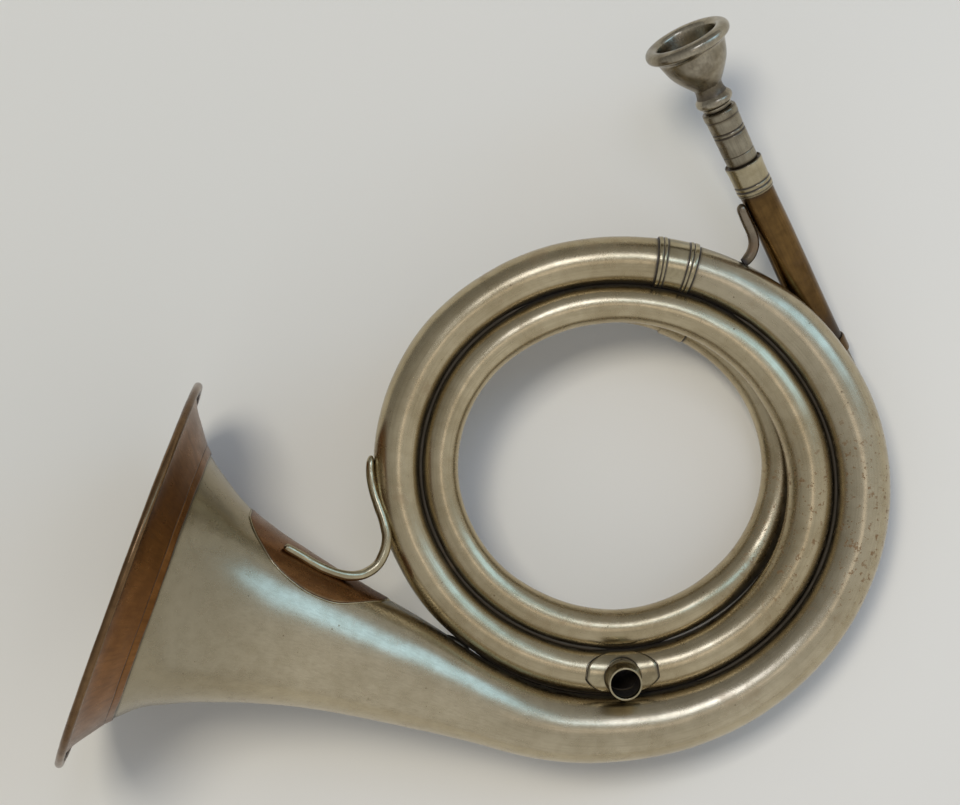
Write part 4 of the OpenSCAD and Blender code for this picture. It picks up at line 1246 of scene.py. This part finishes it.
def solder():
    # the solder seams are near black: painted shade of the crease between the turns
    spans = [(648, 776, 1), (648, 776, -1), (842, 984, 1), (842, 984, -1)]
    seams = [seam(*span, across=0.8, up=0.7, seed=i + 1) for i, span in enumerate(spans)]
    add_solder("turn_solder_seams", seams, DARK_SEAM, 0.30, ["turn_solder"])
    # painted shade only: a near-black line in the crease between the turns and on the flank before
    # it
    gap_shade_line = [seam(634, 1004, side=0, across=0.5, up=0.5, seed=6),
                flank_shade_line(590, 638, width=0.55)]
    add_solder("turn_gap_shade_line", gap_shade_line, DARK_SEAM, 0.30)
    rear = [drop([*coil_at(angle)[:2], -depth], coil_dir(angle), half_length=3.2, across=2.2,
                 up=1.2) for angle, depth in REAR_DROPS]
    add_solder("rear_solder_drops", rear, SOLDER, 0.2, ["back_solder"])
    at_bell = drop([-50.4, -50.2, 0.4], [0.86, -0.5, 0], half_length=5.2, across=1.7, up=2.4)
    add_solder("bell_solder_drop", [at_bell], SOLDER, 0.25, ["bell_solder"])


# ---------------------------------------------------------------- floor
def floor_material():
    """Matt paper with faint clouds, and a slow change of tone across the table that is painted
    light falloff, darker towards -x, +y.
    """
    t = Tree("paper_floor")
    place = t.node("ShaderNodeTexCoord").outputs["Object"]
    mm = t.scaled(place, 1000, 1000, 1000)
    clouds = t.noise(mm, scale=0.006, detail=2.0, rough=0.5)
    fibre = t.noise(mm, scale=0.9, detail=2.0, rough=0.7)
    # painted light falloff: the paper darkens slowly towards -x, +y
    across = t.ramp(t.vector("DOT_PRODUCT", mm, (0.75, -0.66, 0.0), "Value"), -170, 170)
    pale = t.mix(across, (0.600, 0.590, 0.555), (0.665, 0.650, 0.612))
    cloud_mask = t.ramp(clouds, 0.3, 0.7)
    dim = t.mix(across, (0.588, 0.582, 0.550), (0.650, 0.636, 0.602))
    colour = t.mix(cloud_mask, pale, dim)
    return t.finish(colour, rough=0.75, metallic=0.0, bumps=[(fibre, 0.010)])


def paper_floor(half_size=1.6, count=24):
    mesh = bpy.data.meshes.new("paper_floor")
    line = np.linspace(-half_size, half_size, count)
    mesh.from_pydata([[x, y, 0.0] for y in line for x in line], [],
                     grid_faces(count, count, wrap_columns=False).tolist())
    floor = bpy.data.objects.new("paper_floor", mesh)
    bpy.context.scene.collection.objects.link(floor)
    mesh.materials.append(floor_material())


# ---------------------------------------------------------------- light
def studio_world(scene):
    """Cool surroundings, brighter towards an azimuth of -52 degrees."""
    world = bpy.data.worlds.new("studio")
    scene.world = world
    world.use_nodes = True
    tree = world.node_tree
    background = tree.nodes["Background"]
    place = tree.nodes.new("ShaderNodeTexCoord")
    lean = tree.nodes.new("ShaderNodeVectorMath")
    lean.operation = "DOT_PRODUCT"
    bright = math.radians(-52)
    lean.inputs[1].default_value = (math.cos(bright), math.sin(bright), 0.0)
    amount = tree.nodes.new("ShaderNodeMapRange")
    limits = {"From Min": -1.0, "From Max": 1.0, "To Min": 0.22, "To Max": 0.70}
    for key, value in limits.items():
        amount.inputs[key].default_value = value
    tree.links.new(place.outputs["Generated"], lean.inputs[0])
    tree.links.new(lean.outputs["Value"], amount.inputs["Value"])
    tree.links.new(amount.outputs[0], background.inputs[1])
    background.inputs[0].default_value = (0.985, 1.0, 1.02, 1)


LIGHT_TARGET = Vector((0, 0, 0.03))
PANEL_DISTANCE = 1.35
# name, azimuth, elevation, size, radiance, colour
PANELS = [
    ("window", 66, 66, (0.34, 0.36), 5.6, (0.70, 0.77, 1.0)),
    ("sky_side", 31, 32, (0.46, 0.86), 2.0, (0.27, 0.57, 0.96)),
    ("sky_top", 38, 60, (0.20, 0.26), 2.6, (0.40, 0.66, 1.0)),
    ("far_wall", 338, 74, (0.30, 0.20), 1.05, (1.0, 0.90, 0.88))]


def area_light(scene, name, azimuth, elevation, distance, size, power, colour):
    light = bpy.data.lights.new(name, "AREA")
    light.shape = "RECTANGLE"
    light.size, light.size_y = size
    light.energy = power
    light.color = colour
    ob = bpy.data.objects.new(name, light)
    turn, climb = math.radians(azimuth), math.radians(elevation)
    direction = Vector((math.cos(climb) * math.cos(turn), math.cos(climb) * math.sin(turn),
                        math.sin(climb)))
    ob.location = LIGHT_TARGET + direction * distance
    ob.rotation_euler = (-direction).to_track_quat("-Z", "Y").to_euler()
    scene.collection.objects.link(ob)
    return ob


def lights(scene):
    for name, azimuth, elevation, size, radiance, colour in PANELS:
        power = radiance * math.pi * size[0] * size[1]
        area_light(scene, name, azimuth, elevation, PANEL_DISTANCE, size, power, colour)
    # lights the table and throws the shadows, with no mirror image in the metal
    lamp = area_light(scene, "lamp", azimuth=118, elevation=75, distance=2.4,
                      size=(0.55, 0.55), power=29.0, colour=(1.0, 0.94, 0.82))
    lamp.visible_glossy = False


# ---------------------------------------------------------------- camera
CAMERA_PLACE = np.array([-92.58, 37.69, 748.16])
CAMERA_BACKWARD = np.array([-49.5, 18.0, 750.0])


def camera(scene):
    """Camera above the coil, with +y of the coil frame upwards in the view."""
    forward = -unit(CAMERA_BACKWARD)
    right = unit(np.cross(forward, np.array([0, 1.0, 0])))
    up = np.cross(right, forward)
    turn = np.stack([ATTITUDE @ right, ATTITUDE @ up, -(ATTITUDE @ forward)], 1)
    data = bpy.data.cameras.new("camera")
    data.sensor_width = 36.0
    data.lens = 96.98
    data.clip_start = 0.05
    ob = bpy.data.objects.new("camera", data)
    matrix = Matrix([[*row, 0] for row in turn] + [[0, 0, 0, 1]])
    matrix.translation = Vector(to_table(CAMERA_PLACE))
    ob.matrix_world = matrix
    scene.collection.objects.link(ob)
    scene.camera = ob


# ---------------------------------------------------------------- build
coil_tube()
rear_turn_tube()
bell_sheet()
bell_garland()
bell_rim()
patch_edge_line = bell_patch()
coil_ferrules()
vent_saddle()
vent_chimney()
edge_solder(patch_edge_line)
mouthpiece()
tuning_bit()
receiver()
mouthpipe()
stays()
solder()
paper_floor()

main_scene = bpy.context.scene
studio_world(main_scene)
lights(main_scene)
camera(main_scene)
main_scene.view_settings.view_transform = "Standard"
main_scene.view_settings.look = "None"
